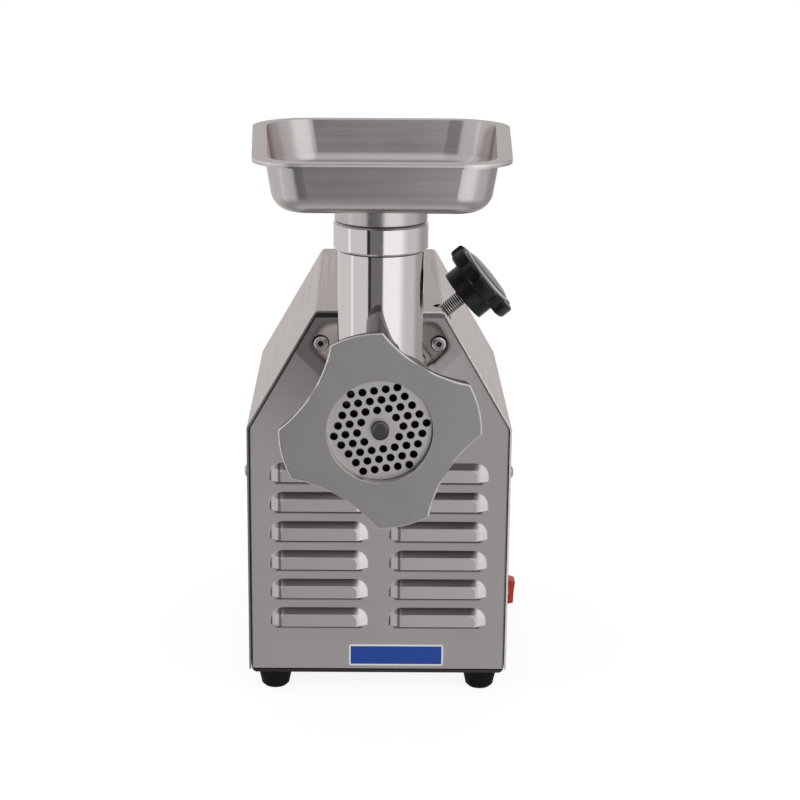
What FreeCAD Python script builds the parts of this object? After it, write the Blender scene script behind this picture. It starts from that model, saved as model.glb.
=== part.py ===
"""Electric meat grinder: folded steel housing, two-stage gear drive and a screw-feed cutting head.

Millimetres. The origin lies on the table, half way between the feed pan's front edge and the cable inlet's
end. +Z is up, the cutting head faces -Y and +X is on the right of someone who stands in front.
"""
import FreeCAD, Part
import math
import os
import re
import Sketcher
from FreeCAD import Placement, Rotation, Vector

# Driving sizes: name, value, what it is.
SIZES = [
    # Housing
    ("housing_width", 172, "outside width of the folded cover"),
    ("housing_depth", 200, "length of the folded cover from front edge to back edge"),
    ("shoulder_drop", 28, "drop from the barrel's axis to the fold where each side starts to slope"),
    ("roof_rise", 50, "height of the flat roof above the barrel's axis"),
    ("roof_width", 82, "width of the flat roof between its folds"),
    ("sheet", 1.2, "steel sheet of the housing"),
    ("bend_radius", 4, "outside radius of the folds"),
    ("panel_inset", 2, "how far the end panels stand back from the cover's edges"),
    ("panel_gap", 0.4, "gap between a panel and the cover around it"),
    ("flange_depth", 14, "width of the folded flanges on the end panels"),
    ("recess_depth", 2.5, "depth of the pressed recess around the head bolts"),
    ("recess_rise", 0, "height of the recess's lower edge above the barrel's axis"),
    ("recess_bolt_room", 7, "distance of the recess's slanted lower edges from the upper bolts"),
    ("recess_margin", 6, "metal left between the recess and the slopes and roof"),
    ("recess_corner", 7, "corner radius of the recess"),
    # Base, feet and their screws
    ("foot_height", 12.8, "height of a rubber foot"),
    ("foot_radius", 11.2, "radius of a foot where it meets the base"),
    ("foot_tip_radius", 9.3, "radius of a foot on the table"),
    ("foot_chamfer", 1.8, "chamfer around a foot's underside"),
    ("foot_band", 2, "height of the straight band at a foot's top"),
    ("foot_side_inset", 17, "centre of a foot from the side of the housing"),
    ("foot_end_inset", 14, "centre of a foot from the end of the housing"),
    ("foot_bore", 2.6, "radius of the screw hole in a foot"),
    ("foot_head_radius", 4.5, "radius of a foot screw's head"),
    ("foot_head_depth", 3.5, "depth of the pocket for a foot screw's head"),
    ("foot_head_sunk", 0.8, "distance of a foot screw's head above the table"),
    ("foot_screw_end", 4, "length of a foot screw above the base"),
    ("foot_screw_radius", 2.4, "radius of a foot screw"),
    ("base_drop", 3.4, "how far the base tray shows below the cover"),
    ("base_sheet", 1.5, "steel sheet of the base tray"),
    ("base_wall", 16, "height of the base tray"),
    ("base_bend", 3.5, "outside radius of the tray's lower edges"),
    # Louvres of the front panel
    ("louvre_width", 65.3, "width of one louvre"),
    ("louvre_height", 12.2, "height of one louvre"),
    ("louvre_reach", 4.5, "how far a louvre stands out of the panel"),
    ("louvre_drop", 51.7, "drop from the barrel's axis to the top row's upper edge"),
    ("louvre_low", 47.8, "height of the bottom row's lower edge"),
    ("louvre_spread", 39.3, "centre of a louvre column from the middle"),
    ("louvre_rows", 6, "number of louvre rows"),
    ("louvre_corner", 9, "radius of the louvre's upper corners"),
    ("slope_skin", 1.4, "how much further a sloped skin reaches along the panel than it is thick"),
    ("louvre_slit", 0.01, "how far a louvre's hollow passes its lower edge"),
    ("louvre_top_flank", 3.8, "height of the sloped flank above a louvre's face"),
    ("louvre_end_flank", 7.5, "width of the sloped flank at each end of a louvre's face"),
    ("louvre_face_corner", 4, "radius of the upper corners of a louvre's face"),
    ("louvre_edge", 0.8, "rounding between a louvre's flanks and its face"),
    # Blank nameplate
    ("nameplate_width", 63, "width of the blank nameplate"),
    ("nameplate_height", 15, "height of the blank nameplate"),
    ("nameplate_corner", 1.5, "corner radius of the blank nameplate"),
    ("nameplate_thickness", 0.8, "thickness of the blank nameplate"),
    ("nameplate_shift", 12.3, "how far the nameplate sits right of the middle"),
    ("nameplate_centre", 26.1, "height of the nameplate's middle"),
    # Rear panel and cable inlet
    ("vent_width", 52, "width of one rear vent slot"),
    ("vent_height", 4, "height of one rear vent slot"),
    ("vent_pitch", 11, "distance between rear vent slots"),
    ("vent_lowest", 97.6, "height of the lowest rear vent slot"),
    ("vent_spread", 34, "centre of a vent column from the middle"),
    ("vent_rows", 6, "number of rear vent slots in a column"),
    ("inlet_radius", 5, "radius of the passage through the cable inlet"),
    ("inlet_body_radius", 8, "radius of the inlet's threaded body"),
    ("inlet_head_radius", 12, "radius of the inlet's outer head"),
    ("inlet_head_length", 14, "length of the inlet's outer head"),
    ("inlet_grip_length", 6.3, "length of the inlet's full-width grip"),
    ("inlet_cone_end", 7.7, "distance of the end of the inlet's cone from the panel"),
    ("inlet_cone_radius", 9.6, "radius at the end of the inlet's cone"),
    ("inlet_tip_radius", 8.4, "radius of the inlet's outer end"),
    ("inlet_nut_length", 5, "thickness of the inlet's lock nut"),
    ("inlet_height", 44.6, "height of the cable inlet"),
    ("inlet_inset", 36, "distance of the cable inlet from the right side of the housing"),
    # Cutting head
    ("axis_height", 212.6, "height of the barrel's axis"),
    ("nut_reach", 102.5, "distance of the ring nut's face in front of the cover"),
    ("nut_lip", 6, "thickness of the ring nut's inner lip"),
    ("nut_lobe_radius", 61, "radius over the ring nut's four lobes"),
    ("nut_waist_radius", 47.5, "smallest radius of the ring nut between lobes"),
    ("nut_scallop_radius", 86, "radius of the hollow between two lobes"),
    ("nut_lobe_thickness", 14.5, "thickness of the lobes"),
    ("nut_opening_radius", 31.5, "radius of the opening in front of the plate"),
    ("nut_turn", 14, "angle of the first lobe above the horizontal"),
    ("nut_sleeve_step", 0.5, "step between the ring nut's waist and its sleeve"),
    ("nut_edge", 1.6, "rounding of the ring nut's outer edges"),
    ("nut_opening_edge", 0.6, "rounding of the opening's front edge"),
    ("thread_radius", 42, "radius of the barrel's thread"),
    ("thread_length", 20, "length of thread inside the ring nut"),
    ("thread_ramp", 4, "length of the slope between the barrel and its thread"),
    ("thread_spare", 2, "length of thread left behind the ring nut"),
    ("thread_gap", 0.3, "radial play of the ring nut's thread"),
    ("plate_radius", 35, "radius of the grinding plate"),
    ("plate_thickness", 8, "thickness of the grinding plate"),
    ("plate_gap", 0.3, "radial play of the plate in the barrel"),
    ("plate_proud", 0.5, "how far the plate stands out of the barrel's mouth"),
    ("plate_hole_radius", 2.25, "radius of a hole in the plate"),
    ("plate_pitch", 7, "distance between neighbouring holes in the plate"),
    ("plate_rings", 4, "number of the outermost hexagon of holes"),
    ("plate_blank_rings", 1, "number of hexagons without holes around the pin"),
    ("plate_turn", 9, "angle of the plate's rows of holes"),
    ("key_radius", 2, "radius of the pin that stops the plate from turning"),
    ("key_inset", 2, "distance of that pin's end from the bottom of the barrel's mouth"),
    ("key_end_gap", 0.1, "gap behind that pin"),
    ("knife_thickness", 9, "thickness of the cross knife"),
    ("knife_radius", 31, "reach of the knife's blades"),
    ("knife_blade", 9, "width of a knife blade"),
    ("knife_hub_radius", 14, "radius of the knife's hub"),
    ("knife_clear", 1, "gap behind the knife in the barrel's mouth"),
    ("cutting_gap", 0.3, "gap between the knife and the plate"),
    ("barrel_radius", 38, "outside radius of the barrel"),
    ("bore_radius", 31, "radius of the barrel's bore"),
    ("barrel_chamfer", 2, "chamfer around the barrel's shoulder"),
    ("barrel_back", 8, "thickness of the barrel's rear wall"),
    ("seat_gap", 0.3, "gap between the barrel's shoulder and the front panel"),
    ("neck_radius", 26, "radius of the neck that enters the socket"),
    ("neck_length", 34, "length of the neck"),
    ("neck_chamfer", 1.5, "chamfer on the neck's end"),
    ("neck_gap", 0.3, "radial play of the neck in its socket"),
    ("throat_reach", 38, "distance of the throat's axis in front of the cover"),
    ("throat_radius", 26.5, "outside radius of the throat tube"),
    ("throat_bore", 24.5, "inside radius of the throat tube"),
    ("throat_rise", 115.7, "height of the throat's upper end above the barrel's axis"),
    ("collar_radius", 29, "outside radius of the throat's collar"),
    ("collar_height", 17, "height of the throat's collar"),
    ("collar_floor", 2, "thickness of the ledge inside the collar"),
    ("collar_bead", 1.2, "rounding of the collar's edges"),
    ("spigot_gap", 0.3, "radial play of the pan's spigot in the collar"),
    ("spigot_depth", 12, "depth of the pan's spigot in the collar"),
    # Auger
    ("auger_shaft_radius", 12, "radius of the auger's core"),
    ("flight_gap", 0.6, "play between the auger's flight and the bore"),
    ("flight_thickness", 5, "thickness of the auger's flight"),
    ("flight_end_gap", 1.5, "distance of the flight from each end of the core"),
    ("flight_pitch", 26, "pitch of the auger's flight"),
    ("auger_square", 14, "side of the square that carries the knife"),
    ("pin_radius", 5.2, "radius of the auger's front pin"),
    ("pin_reach", 6, "how far the pin stands out of the plate"),
    ("pin_chamfer", 1.2, "chamfer on the pin's end"),
    ("running_gap", 0.05, "radial play of a running fit"),
    ("journal_radius", 13, "radius of the auger's rear journal"),
    ("bush_radius", 16, "outside radius of the auger's bush"),
    ("washer_radius", 22, "outside radius of the auger's thrust washer"),
    ("washer_gap", 0.15, "play on each face of the thrust washer"),
    ("washer_thickness", 2, "thickness of the auger's thrust washer"),
    ("tail_square", 12.6, "side of the auger's square tail"),
    ("tail_length", 16, "length of the auger's square tail"),
    ("tail_gap", 0.3, "play on each side of the square tail"),
    # Feed pan
    ("pan_front_width", 145, "outside width of the feed pan's rim at its front edge"),
    ("pan_back_width", 165, "outside width of the feed pan's rim at its back edge"),
    ("pan_depth", 190, "outside length of the feed pan's rim from front to back"),
    ("pan_shift", 6.5, "distance of the feed pan's middle in front of the throat's axis"),
    ("pan_height", 31.5, "height of the feed pan from floor to rim"),
    ("pan_sheet", 1.2, "sheet of the feed pan"),
    ("pan_flange", 7.3, "width of the feed pan's flat rim"),
    ("pan_taper", 5, "how much the feed pan narrows on each side"),
    ("pan_floor_round", 13, "rounding between the feed pan's walls and floor"),
    ("pan_front_corner", 29, "radius of the rim's front corners"),
    ("pan_back_corner", 37, "radius of the rim's back corners"),
    ("pan_hem", 2.6, "depth of the hem folded down around the rim"),
    ("pan_neck", 18.5, "length of the pan's neck above the collar"),
    # Clamp screw
    ("clamp_angle", 40, "angle of the clamp screw above the horizontal"),
    ("clamp_offset", 9.2, "distance of the clamp screw's axis above the barrel's axis"),
    ("clamp_setback", 16, "distance of the clamp screw behind the cover's front edge"),
    ("clamp_flat", 20, "distance of the neck's flat from the barrel's axis"),
    ("clamp_tip_gap", 0.3, "gap between the screw's tip and the flat"),
    ("clamp_stud_radius", 4.9, "radius of the clamp screw"),
    ("clamp_hole_radius", 7, "radius of the hole in the cover for the clamp screw"),
    ("clamp_boss_radius", 9, "radius of the boss that holds the clamp screw"),
    ("clamp_boss_reach", 50, "distance of the boss's end from the barrel's axis"),
    ("knob_reach", 77, "distance of the knob's hub from the barrel's axis"),
    ("knob_hub_radius", 17.5, "radius of the knob's hub"),
    ("knob_hub_length", 10.5, "length of the knob's hub"),
    ("knob_radius", 26.5, "radius over the knob's lobes"),
    ("knob_thickness", 9.5, "thickness of the knob's head"),
    ("knob_lobes", 6, "number of lobes on the knob"),
    ("knob_scallop", 8, "radius of the hollows between the knob's lobes"),
    ("knob_scallop_depth", 4, "depth of the hollows between the knob's lobes"),
    ("knob_edge", 2.2, "rounding of the knob's edges"),
    ("knob_cap_radius", 19.5, "radius of the cap on the knob"),
    ("knob_cap_height", 3, "height of the cap on the knob"),
    ("knob_cap_edge", 1.05, "height of the cap's straight edge"),
    ("knob_cap_slope_radius", 15.6, "radius half way up the cap's dome"),
    ("knob_cap_slope_height", 2.25, "height half way up the cap's dome"),
    ("knob_cap_crown", 7.8, "radius of the flat on the cap's dome"),
    # Head bolts
    ("bolt_spread", 37.8, "distance of a head bolt from the middle"),
    ("bolt_rise", 28, "distance of a head bolt above or below the barrel's axis"),
    ("bolt_radius", 3, "radius of a head bolt"),
    ("bolt_gap", 0.3, "radial play of a bolt in its hole"),
    ("bolt_head_radius", 5.3, "radius of a head bolt's head"),
    ("bolt_head_height", 3.3, "height of a head bolt's head"),
    ("bolt_head_edge", 1, "height of the straight edge of a head bolt's head"),
    ("bolt_dome_radius", 4.5, "radius half way up the head's dome"),
    ("bolt_dome_height", 2.5, "height half way up the head's dome"),
    ("bolt_crown", 2.9, "radius of the flat on the head's dome"),
    ("bolt_socket", 2, "half width of the hexagon socket across its corners"),
    ("bolt_socket_depth", 1.8, "depth of the hexagon socket"),
    # Gear case
    ("case_flange", 8, "thickness of the case's mounting flange"),
    ("flange_edge", 9, "metal around a head bolt in the flange"),
    ("socket_wall", 8, "wall of the socket around the neck"),
    ("case_wall", 4, "wall of the gear case"),
    ("case_front_wall", 13, "thickness of the gear case's front wall"),
    ("case_cover", 12, "thickness of the gear case's cover"),
    ("gear_gap", 2, "gap beside and around the gears"),
    ("neck_end_gap", 1, "gap behind the end of the neck"),
    ("seal_width", 7, "width of the oil seal"),
    ("press_gap", 0.02, "radial gap of a press fit"),
    ("case_screw_radius", 2, "radius of a gear case screw"),
    ("case_screw_head", 3.6, "radius of a gear case screw's head"),
    ("case_screw_sink", 4, "depth of the pocket for a gear case screw's head"),
    ("chamber_web", 0.9, "width of the chamber's straight parts as a share of its round rooms"),
    ("ear_offset", 2, "distance of an ear's centre outside the chamber's wall"),
    ("blind_floor", 2, "metal left at the bottom of a blind screw hole"),
    ("case_ear", 6, "radius of the ears for the gear case screws"),
    # Gears and shafts
    ("slow_module", 2, "module of the slow gear pair"),
    ("slow_pinion_teeth", 16, "teeth on the layshaft's pinion"),
    ("output_teeth", 38, "teeth on the output gear"),
    ("slow_width", 12, "face width of the slow gear pair"),
    ("fast_module", 1.5, "module of the fast gear pair"),
    ("motor_teeth", 16, "teeth on the motor's pinion"),
    ("layshaft_teeth", 56, "teeth on the layshaft's gear"),
    ("fast_width", 9, "face width of the fast gear pair"),
    ("pressure_angle", 20, "pressure angle of the teeth"),
    ("root_depth", 1.25, "depth of a tooth below the pitch circle, in modules"),
    ("backlash", 0.35, "play between meshing teeth"),
    ("output_shaft_radius", 12.5, "radius of the output shaft in its front bearing"),
    ("output_tail_radius", 8.5, "radius of the output shaft in its rear bearing"),
    ("layshaft_radius", 6, "radius of the layshaft in its bearings"),
    ("rotor_shaft_radius", 7.5, "radius of the rotor shaft in its bearings"),
    ("shaft_end_gap", 1, "distance of a shaft's end inside its bearing"),
    ("output_bearing_radius", 23.5, "outside radius of the front output bearing"),
    ("output_bearing_width", 12, "width of the front output bearing"),
    ("tail_bearing_radius", 20, "outside radius of the rear output bearing"),
    ("lay_bearing_radius", 16, "outside radius of a layshaft bearing"),
    ("lay_bearing_width", 10, "width of a layshaft bearing"),
    ("motor_bearing_radius", 17.5, "outside radius of a motor bearing"),
    ("motor_bearing_width", 9, "width of a motor bearing"),
    ("race_groove", 0.8, "depth of the groove between a bearing's races"),
    # Motor
    ("motor_radius", 55, "outside radius of the motor"),
    ("stator_bore", 30, "radius of the stator's bore"),
    ("air_gap", 0.5, "gap between the rotor and the stator"),
    ("winding_length", 14, "overhang of the windings at each end"),
    ("winding_inner", 33, "inside radius of the windings"),
    ("winding_outer", 48, "outside radius of the windings"),
    ("winding_gap", 1, "gap between the windings and the end shields"),
    ("shield_thickness", 11, "thickness of a motor end shield"),
    ("shaft_clear", 1, "gap around the rotor shaft where it passes an end shield"),
    ("through_bolt_radius", 2, "radius of the bolts that hold the motor together"),
    ("through_bolt_circle", 51.5, "radius of the circle of those bolts"),
    ("through_bolt_head", 3.2, "radius of those bolts' heads"),
    ("through_bolt_rise", 1.4, "height of those bolts' heads"),
    ("fan_radius", 48, "radius of the motor's fan"),
    ("fan_hub_radius", 13, "radius of the fan's hub"),
    ("fan_width", 9, "width of the fan's blades"),
    ("fan_disc", 2, "thickness of the fan's disc"),
    ("fan_blades", 8, "number of fan blades"),
    ("fan_gap", 2, "gap between the rear end shield and the fan"),
    ("fan_room", 3.1, "gap between the fan and the rear panel"),
    ("cradle_gap", 2.5, "gap between the motor's cradle and the capacitor's clip"),
    ("cradle_length", 26, "length of the motor's cradle"),
    ("cradle_rise", 12, "how far the cradle reaches up beside the motor"),
    ("cradle_wall", 5, "wall of the motor's cradle"),
    ("capacitor_radius", 15, "radius of the run capacitor"),
    ("capacitor_length", 58, "length of the run capacitor"),
    ("capacitor_edge", 1.5, "chamfer at the capacitor's end"),
    ("terminal_radius", 4, "radius of the capacitor's terminal block"),
    ("terminal_length", 4, "length of the capacitor's terminal block"),
    ("capacitor_inset", 28, "distance of the capacitor's middle from the left side of the housing"),
    ("capacitor_back", 8, "how far the capacitor starts behind the middle"),
    ("clip_sheet", 1.5, "sheet of the capacitor's clip"),
    ("clip_foot_width", 18, "width of the clip's foot"),
    ("clip_width", 14, "width of the capacitor's clip"),
    # Switch
    ("switch_setback", 36, "centre of the switch behind the cover's front edge"),
    ("switch_height", 60.3, "height of the switch's centre"),
    ("bezel_height", 24, "height of the switch's bezel"),
    ("bezel_width", 16, "width of the switch's bezel"),
    ("bezel_thickness", 2, "thickness of the switch's bezel"),
    ("bezel_corner", 2, "corner radius of the switch's bezel"),
    ("bezel_lip", 1.5, "overlap of the bezel on the cover"),
    ("switch_depth", 20, "depth of the switch's body behind the cover"),
    ("rocker_half", 8.8, "half height of the rocker where it leaves the bezel"),
    ("rocker_face_half", 7.4, "half height of the rocker's face"),
    ("rocker_brow", 0.5, "height of the rocker's widest place above its pivot"),
    ("rocker_width", 10.5, "width of the rocker"),
    ("rocker_reach", 5.0, "height of the rocker's ends above its pivot"),
    ("rocker_dip", 4.7, "height of the rocker's middle above its pivot"),
    ("rocker_root", 4, "depth of the rocker below its pivot"),
    ("rocker_root_half", 4.9, "half height of the rocker's root"),
    ("rocker_tilt", 4, "tilt of the rocker at rest"),
    ("rocker_gap", 0.5, "play around the rocker"),
    ("pivot_radius", 1.2, "radius of the rocker's pivot"),
    ("pivot_sink", 0.5, "depth of the rocker's pivot below the bezel's face"),
    # Screws of the cover
    ("cover_screw_radius", 2, "radius of a cover screw"),
    ("cover_screw_head", 4, "radius of a cover screw's head"),
    ("cover_screw_rise", 2, "height of a cover screw's head"),
    ("cover_screw_length", 6, "length of a cover screw's shank"),
    ("cover_screw_drop", 32, "distance of the upper cover screws below the folds"),
    ("cover_screw_low", 60, "distance of the lower cover screws from the middle"),
    ("cover_screw_crown", 2.4, "radius of the flat on a cover screw's head"),
    ("base_screw_drop", 5, "distance of the lower cover screws below the tray's edge"),
    ("cross_reach", 2.1, "half length of a screw's cross recess"),
    ("cross_width", 1, "width of a screw's cross recess"),
    ("cross_depth", 1.2, "depth of a screw's cross recess"),
    # Cutters and joined shapes
    ("overcut", 1, "how far a cutter runs past the metal it cuts"),
    ("overlap", 1, "how deep joined shapes reach into each other"),
]

# Places worked out from the driving sizes.
DERIVED = {
    "half_width": "housing_width / 2",
    "half_roof": "roof_width / 2",
    "middle": "(throat_reach + pan_shift + pan_depth / 2 + panel_inset - inlet_head_length) / 2",
    "front": "middle - housing_depth / 2",
    "back": "middle + housing_depth / 2",
    "cover_bottom": "foot_height + base_drop",
    "shoulder_height": "axis_height - shoulder_drop",
    "roof_height": "axis_height + roof_rise",
    "lean": "atan((half_width - half_roof) / (roof_height - shoulder_height)) / 1 deg",
    "panel_side": "half_width - sheet - panel_gap",
    "panel_face": "front + panel_inset",
    "panel_back": "panel_face + sheet",
    "rear_face": "back - panel_inset",
    "rear_inside": "rear_face - sheet",
    "base_top": "foot_height + base_sheet",
    "recess_bottom": "axis_height + recess_rise",
    "louvre_top": "axis_height - louvre_drop",
    "louvre_pitch": "(louvre_top - louvre_height - louvre_low) / (louvre_rows - 1)",
    "cover_screw_high": "shoulder_height - cover_screw_drop",
    "inlet_x": "half_width - inlet_inset",
    # Head, from the ring nut's face backwards
    "nut_face": "front - nut_reach",
    "plate_face": "nut_face + nut_lip",
    "plate_rear": "plate_face + plate_thickness",
    "barrel_mouth": "plate_face + plate_proud",
    "knife_face": "plate_rear + cutting_gap",
    "knife_rear": "knife_face + knife_thickness",
    "recess_end": "knife_rear + knife_clear",
    "head_shoulder": "panel_face - seat_gap",
    "barrel_floor": "head_shoulder - barrel_back",
    "neck_end": "head_shoulder + neck_length",
    "throat_y": "front - throat_reach",
    "throat_height": "axis_height + throat_rise",
    "washer_face": "barrel_floor - washer_thickness",
    "pan_y": "throat_y - pan_shift",
    "pan_splay": "(pan_back_width - pan_front_width) / (2 * pan_depth)",
    "pan_floor": "throat_height + pan_neck",
    "pan_rim": "pan_floor + pan_height",
    # Drive, from the socket backwards
    "case_face": "panel_back + recess_depth",
    "seal_face": "neck_end + neck_end_gap",
    "bearing_face": "seal_face + seal_width",
    "cavity_face": "bearing_face + output_bearing_width",
    "slow_face": "cavity_face + gear_gap",
    "fast_face": "slow_face + slow_width + gear_gap",
    "cavity_end": "fast_face + fast_width + gear_gap",
    "cover_end": "cavity_end + case_cover",
    "slow_distance": "slow_module * (slow_pinion_teeth + output_teeth) / 2",
    "fast_distance": "fast_module * (motor_teeth + layshaft_teeth) / 2",
    "lay_height": "axis_height - slow_distance",
    "motor_height": "lay_height - fast_distance",
    "output_room": "slow_module * (output_teeth / 2 + 1) + gear_gap",
    "lay_room": "fast_module * (layshaft_teeth / 2 + 1) + gear_gap",
    "motor_room": "fast_module * (motor_teeth / 2 + 1) + gear_gap",
    "shield_end": "cover_end + shield_thickness",
    "stator_face": "shield_end + winding_gap + winding_length",
    # Motor, from the rear panel forwards: the stator fills the length that is left
    "fan_end": "rear_inside - fan_room",
    "fan_face": "fan_end - fan_width - fan_disc",
    "rear_shield_end": "fan_face - fan_gap",
    "rear_shield": "rear_shield_end - shield_thickness",
    "stator_end": "rear_shield - winding_gap - winding_length",
    "stator_length": "stator_end - stator_face",
    "cradle_width": "2 * (half_width - capacitor_inset - capacitor_radius - clip_sheet - cradle_gap)",
    "capacitor_x": "capacitor_inset - half_width",
    # Clamp screw: a point on its axis level with the barrel's axis
    "clamp_x": "-clamp_offset * sin(clamp_angle)",
    "clamp_y": "front + clamp_setback",
    "clamp_z": "axis_height + clamp_offset * cos(clamp_angle)",
    "clamp_tip": "clamp_flat + clamp_tip_gap",
    "knob_face": "knob_reach + knob_hub_length + knob_thickness",
    # Switch
    "switch_y": "front + switch_setback",
    "pivot_x": "half_width + bezel_thickness - pivot_sink",
    "window_half": "rocker_half + rocker_gap",
}

doc = FreeCAD.newDocument("meat_grinder")
sheet = doc.addObject("Spreadsheet::Sheet", "sizes")
for row, (alias, size, note) in enumerate(SIZES, start=1):
    sheet.set(f"A{row}", note)
    sheet.set(f"B{row}", str(size))
    sheet.setAlias(f"B{row}", alias)
doc.recompute()

# Distance below which two places count as the same.
TOUCH = 0.01
# Straight steps in one tooth flank.
FLANK_STEPS = 5
ALIASES = {alias for alias, size, note in SIZES}
PARTS = []


def expand(text):
    """Write a formula of plain names as one that points at the sheet's cells."""
    def swap(match):
        word = match.group(0)
        if word in DERIVED:
            return f"({expand(DERIVED[word])})"
        if word in ALIASES:
            return f"sizes.{word}"
        return word
    return re.sub(r"[A-Za-z_][A-Za-z_0-9]*", swap, str(text))


def value(text):
    """The number that a formula gives with the sheet's present sizes."""
    result = sheet.evalExpression(expand(text))
    return float(getattr(result, "Value", result))


def vector(x, y, z):
    """A point whose three coordinates are formulas."""
    return Vector(value(x), value(y), value(z))


def bind(item, sizes):
    """Tie an object's properties to formulas."""
    for name, text in sizes.items():
        item.setExpression(name, expand(text))


# Which way an object's own Z axis points once it is placed.
DIRECTIONS = {
    "+Z": Rotation(),
    "-Z": Rotation(Vector(1, 0, 0), 180),
    "+X": Rotation(Vector(0, 1, 0), 90),
    "-X": Rotation(Vector(0, 1, 0), -90),
    "+Y": Rotation(Vector(1, 0, 0), -90),
    "-Y": Rotation(Vector(1, 0, 0), 90),
    "clamp": Rotation(Vector(0, 1, 0), 90 - value("clamp_angle")),
}


def put(item, x, y, z, along="+Z"):
    """Place an object with its base at x, y, z and its own Z axis along a direction."""
    item.Placement = Placement(Vector(), DIRECTIONS[along])
    bind(item, {"Placement.Base.x": x, "Placement.Base.y": y, "Placement.Base.z": z})
    if along == "clamp":
        bind(item, {"Placement.Rotation.Angle": "90 - clamp_angle"})
    return item


def put_on_clamp(item, distance):
    """Place an object on the clamp screw's axis, at a distance from the barrel's axis."""
    x = f"clamp_x + ({distance}) * cos(clamp_angle)"
    z = f"clamp_z + ({distance}) * sin(clamp_angle)"
    return put(item, x, "clamp_y", z, "clamp")


def box(name, x, y, z, length, width, height):
    """A block between its lowest corner and its sizes along X, Y and Z."""
    item = doc.addObject("Part::Box", name)
    bind(item, {"Length": length, "Width": width, "Height": height})
    return put(item, x, y, z)


def cylinder(name, radius, length, x, y, z, along="+Y"):
    """A round bar from a base point along a direction."""
    item = doc.addObject("Part::Cylinder", name)
    bind(item, {"Radius": radius, "Height": length})
    return put(item, x, y, z, along)


def fuse(name, *shapes):
    """Join shapes into one."""
    item = doc.addObject("Part::MultiFuse", name)
    item.Shapes = list(shapes)
    return item


def cut(name, base, *tools):
    """Take tools away from a base."""
    item = doc.addObject("Part::Cut", name)
    item.Base = base
    item.Tool = tools[0] if len(tools) == 1 else fuse(f"{name}_tools", *tools)
    return item


def rounded(name, base, radius, choose):
    """Round the chosen edges of an object."""
    doc.recompute()
    size = value(radius)
    item = doc.addObject("Part::Fillet", name)
    item.Base = base
    item.Edges = [(i, size, size) for i, edge in enumerate(base.Shape.Edges, 1) if choose(edge)]
    return item


def parallel(edge, axis):
    """Whether an edge is straight and runs along an axis."""
    return edge.Curve.TypeId == "Part::GeomLine" and abs(edge.Curve.Direction.dot(axis)) > 1 - TOUCH


def drawn(name, outline, plane):
    """A body with a sketch on one of its planes: a closed outline whose corners follow formulas."""
    body = doc.addObject("PartDesign::Body", name)
    sketch = body.newObject("Sketcher::SketchObject", f"{name}_outline")
    support = next(item for item in body.Origin.OriginFeatures if item.Role == plane)
    sketch.AttachmentSupport = (support, [""])
    sketch.MapMode = "FlatFace"
    corners = [Vector(value(a), value(b), 0) for a, b in outline]
    count = len(corners)
    for i in range(count):
        sketch.addGeometry(Part.LineSegment(corners[i], corners[(i + 1) % count]))
    for i in range(count):
        sketch.addConstraint(Sketcher.Constraint("Coincident", i, 2, (i + 1) % count, 1))
    for i, corner in enumerate(outline):
        for kind, text in zip(("DistanceX", "DistanceY"), corner):
            index = sketch.addConstraint(Sketcher.Constraint(kind, -1, 1, i, 1, value(text)))
            sketch.setExpression(f"Constraints[{index}]", expand(text))
    return body, sketch


def turned(name, outline):
    """A turned piece: an outline of (radius, distance along the axis) spun about its own Z axis."""
    body, sketch = drawn(name, outline, "XZ_Plane")
    spin = body.newObject("PartDesign::Revolution", f"{name}_spin")
    spin.Profile = sketch
    spin.ReferenceAxis = (sketch, ["V_Axis"])
    spin.Angle = 360
    return body


def plate(name, outline, thickness, y):
    """A plate that stands across the machine: an outline in X and Z, from y towards the front."""
    body, sketch = drawn(name, outline, "XY_Plane")
    pad = body.newObject("PartDesign::Pad", f"{name}_pad")
    pad.Profile = sketch
    bind(pad, {"Length": thickness})
    return put(body, "0", y, "0", "-Y")


def tube(name, outer, inner, length, x, y, z, along="+Y"):
    """A ring or sleeve."""
    item = turned(name, [(inner, "0"), (outer, "0"), (outer, length), (inner, length)])
    return put(item, x, y, z, along)


def shaped(name, shape):
    """An object whose shape is set directly."""
    item = doc.addObject("Part::Feature", name)
    item.Shape = shape
    return item


def group(name, template, spots):
    """Copies of one piece at several spots: each spot is a point and the way its axis points."""
    doc.recompute()
    copies = []
    for point, along in spots:
        copy = template.Shape.copy()
        copy.Placement = Placement(point, DIRECTIONS[along])
        copies.append(copy)
    return shaped(name, Part.makeCompound(copies))


def part(label, item):
    """Name a finished sub-part."""
    item.Label = label
    PARTS.append(item)
    return item


def house_outline(inset, bottom):
    """The housing's section, a given distance inside the cover's outside."""
    side = f"half_width - ({inset})"
    shoulder = f"shoulder_height - ({inset}) * tan(lean / 2)"
    roof = f"half_roof - ({inset}) * tan((90 - lean) / 2)"
    ridge = f"roof_height - ({inset})"
    right = [(side, bottom), (side, shoulder), (roof, ridge)]
    left = [(f"-({x})", z) for x, z in reversed(right)]
    return right + left


def polar(radius, angle):
    """A point in a piece's own XY plane, from a radius and an angle in radians."""
    return Vector(radius * math.cos(angle), radius * math.sin(angle), 0)


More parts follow.
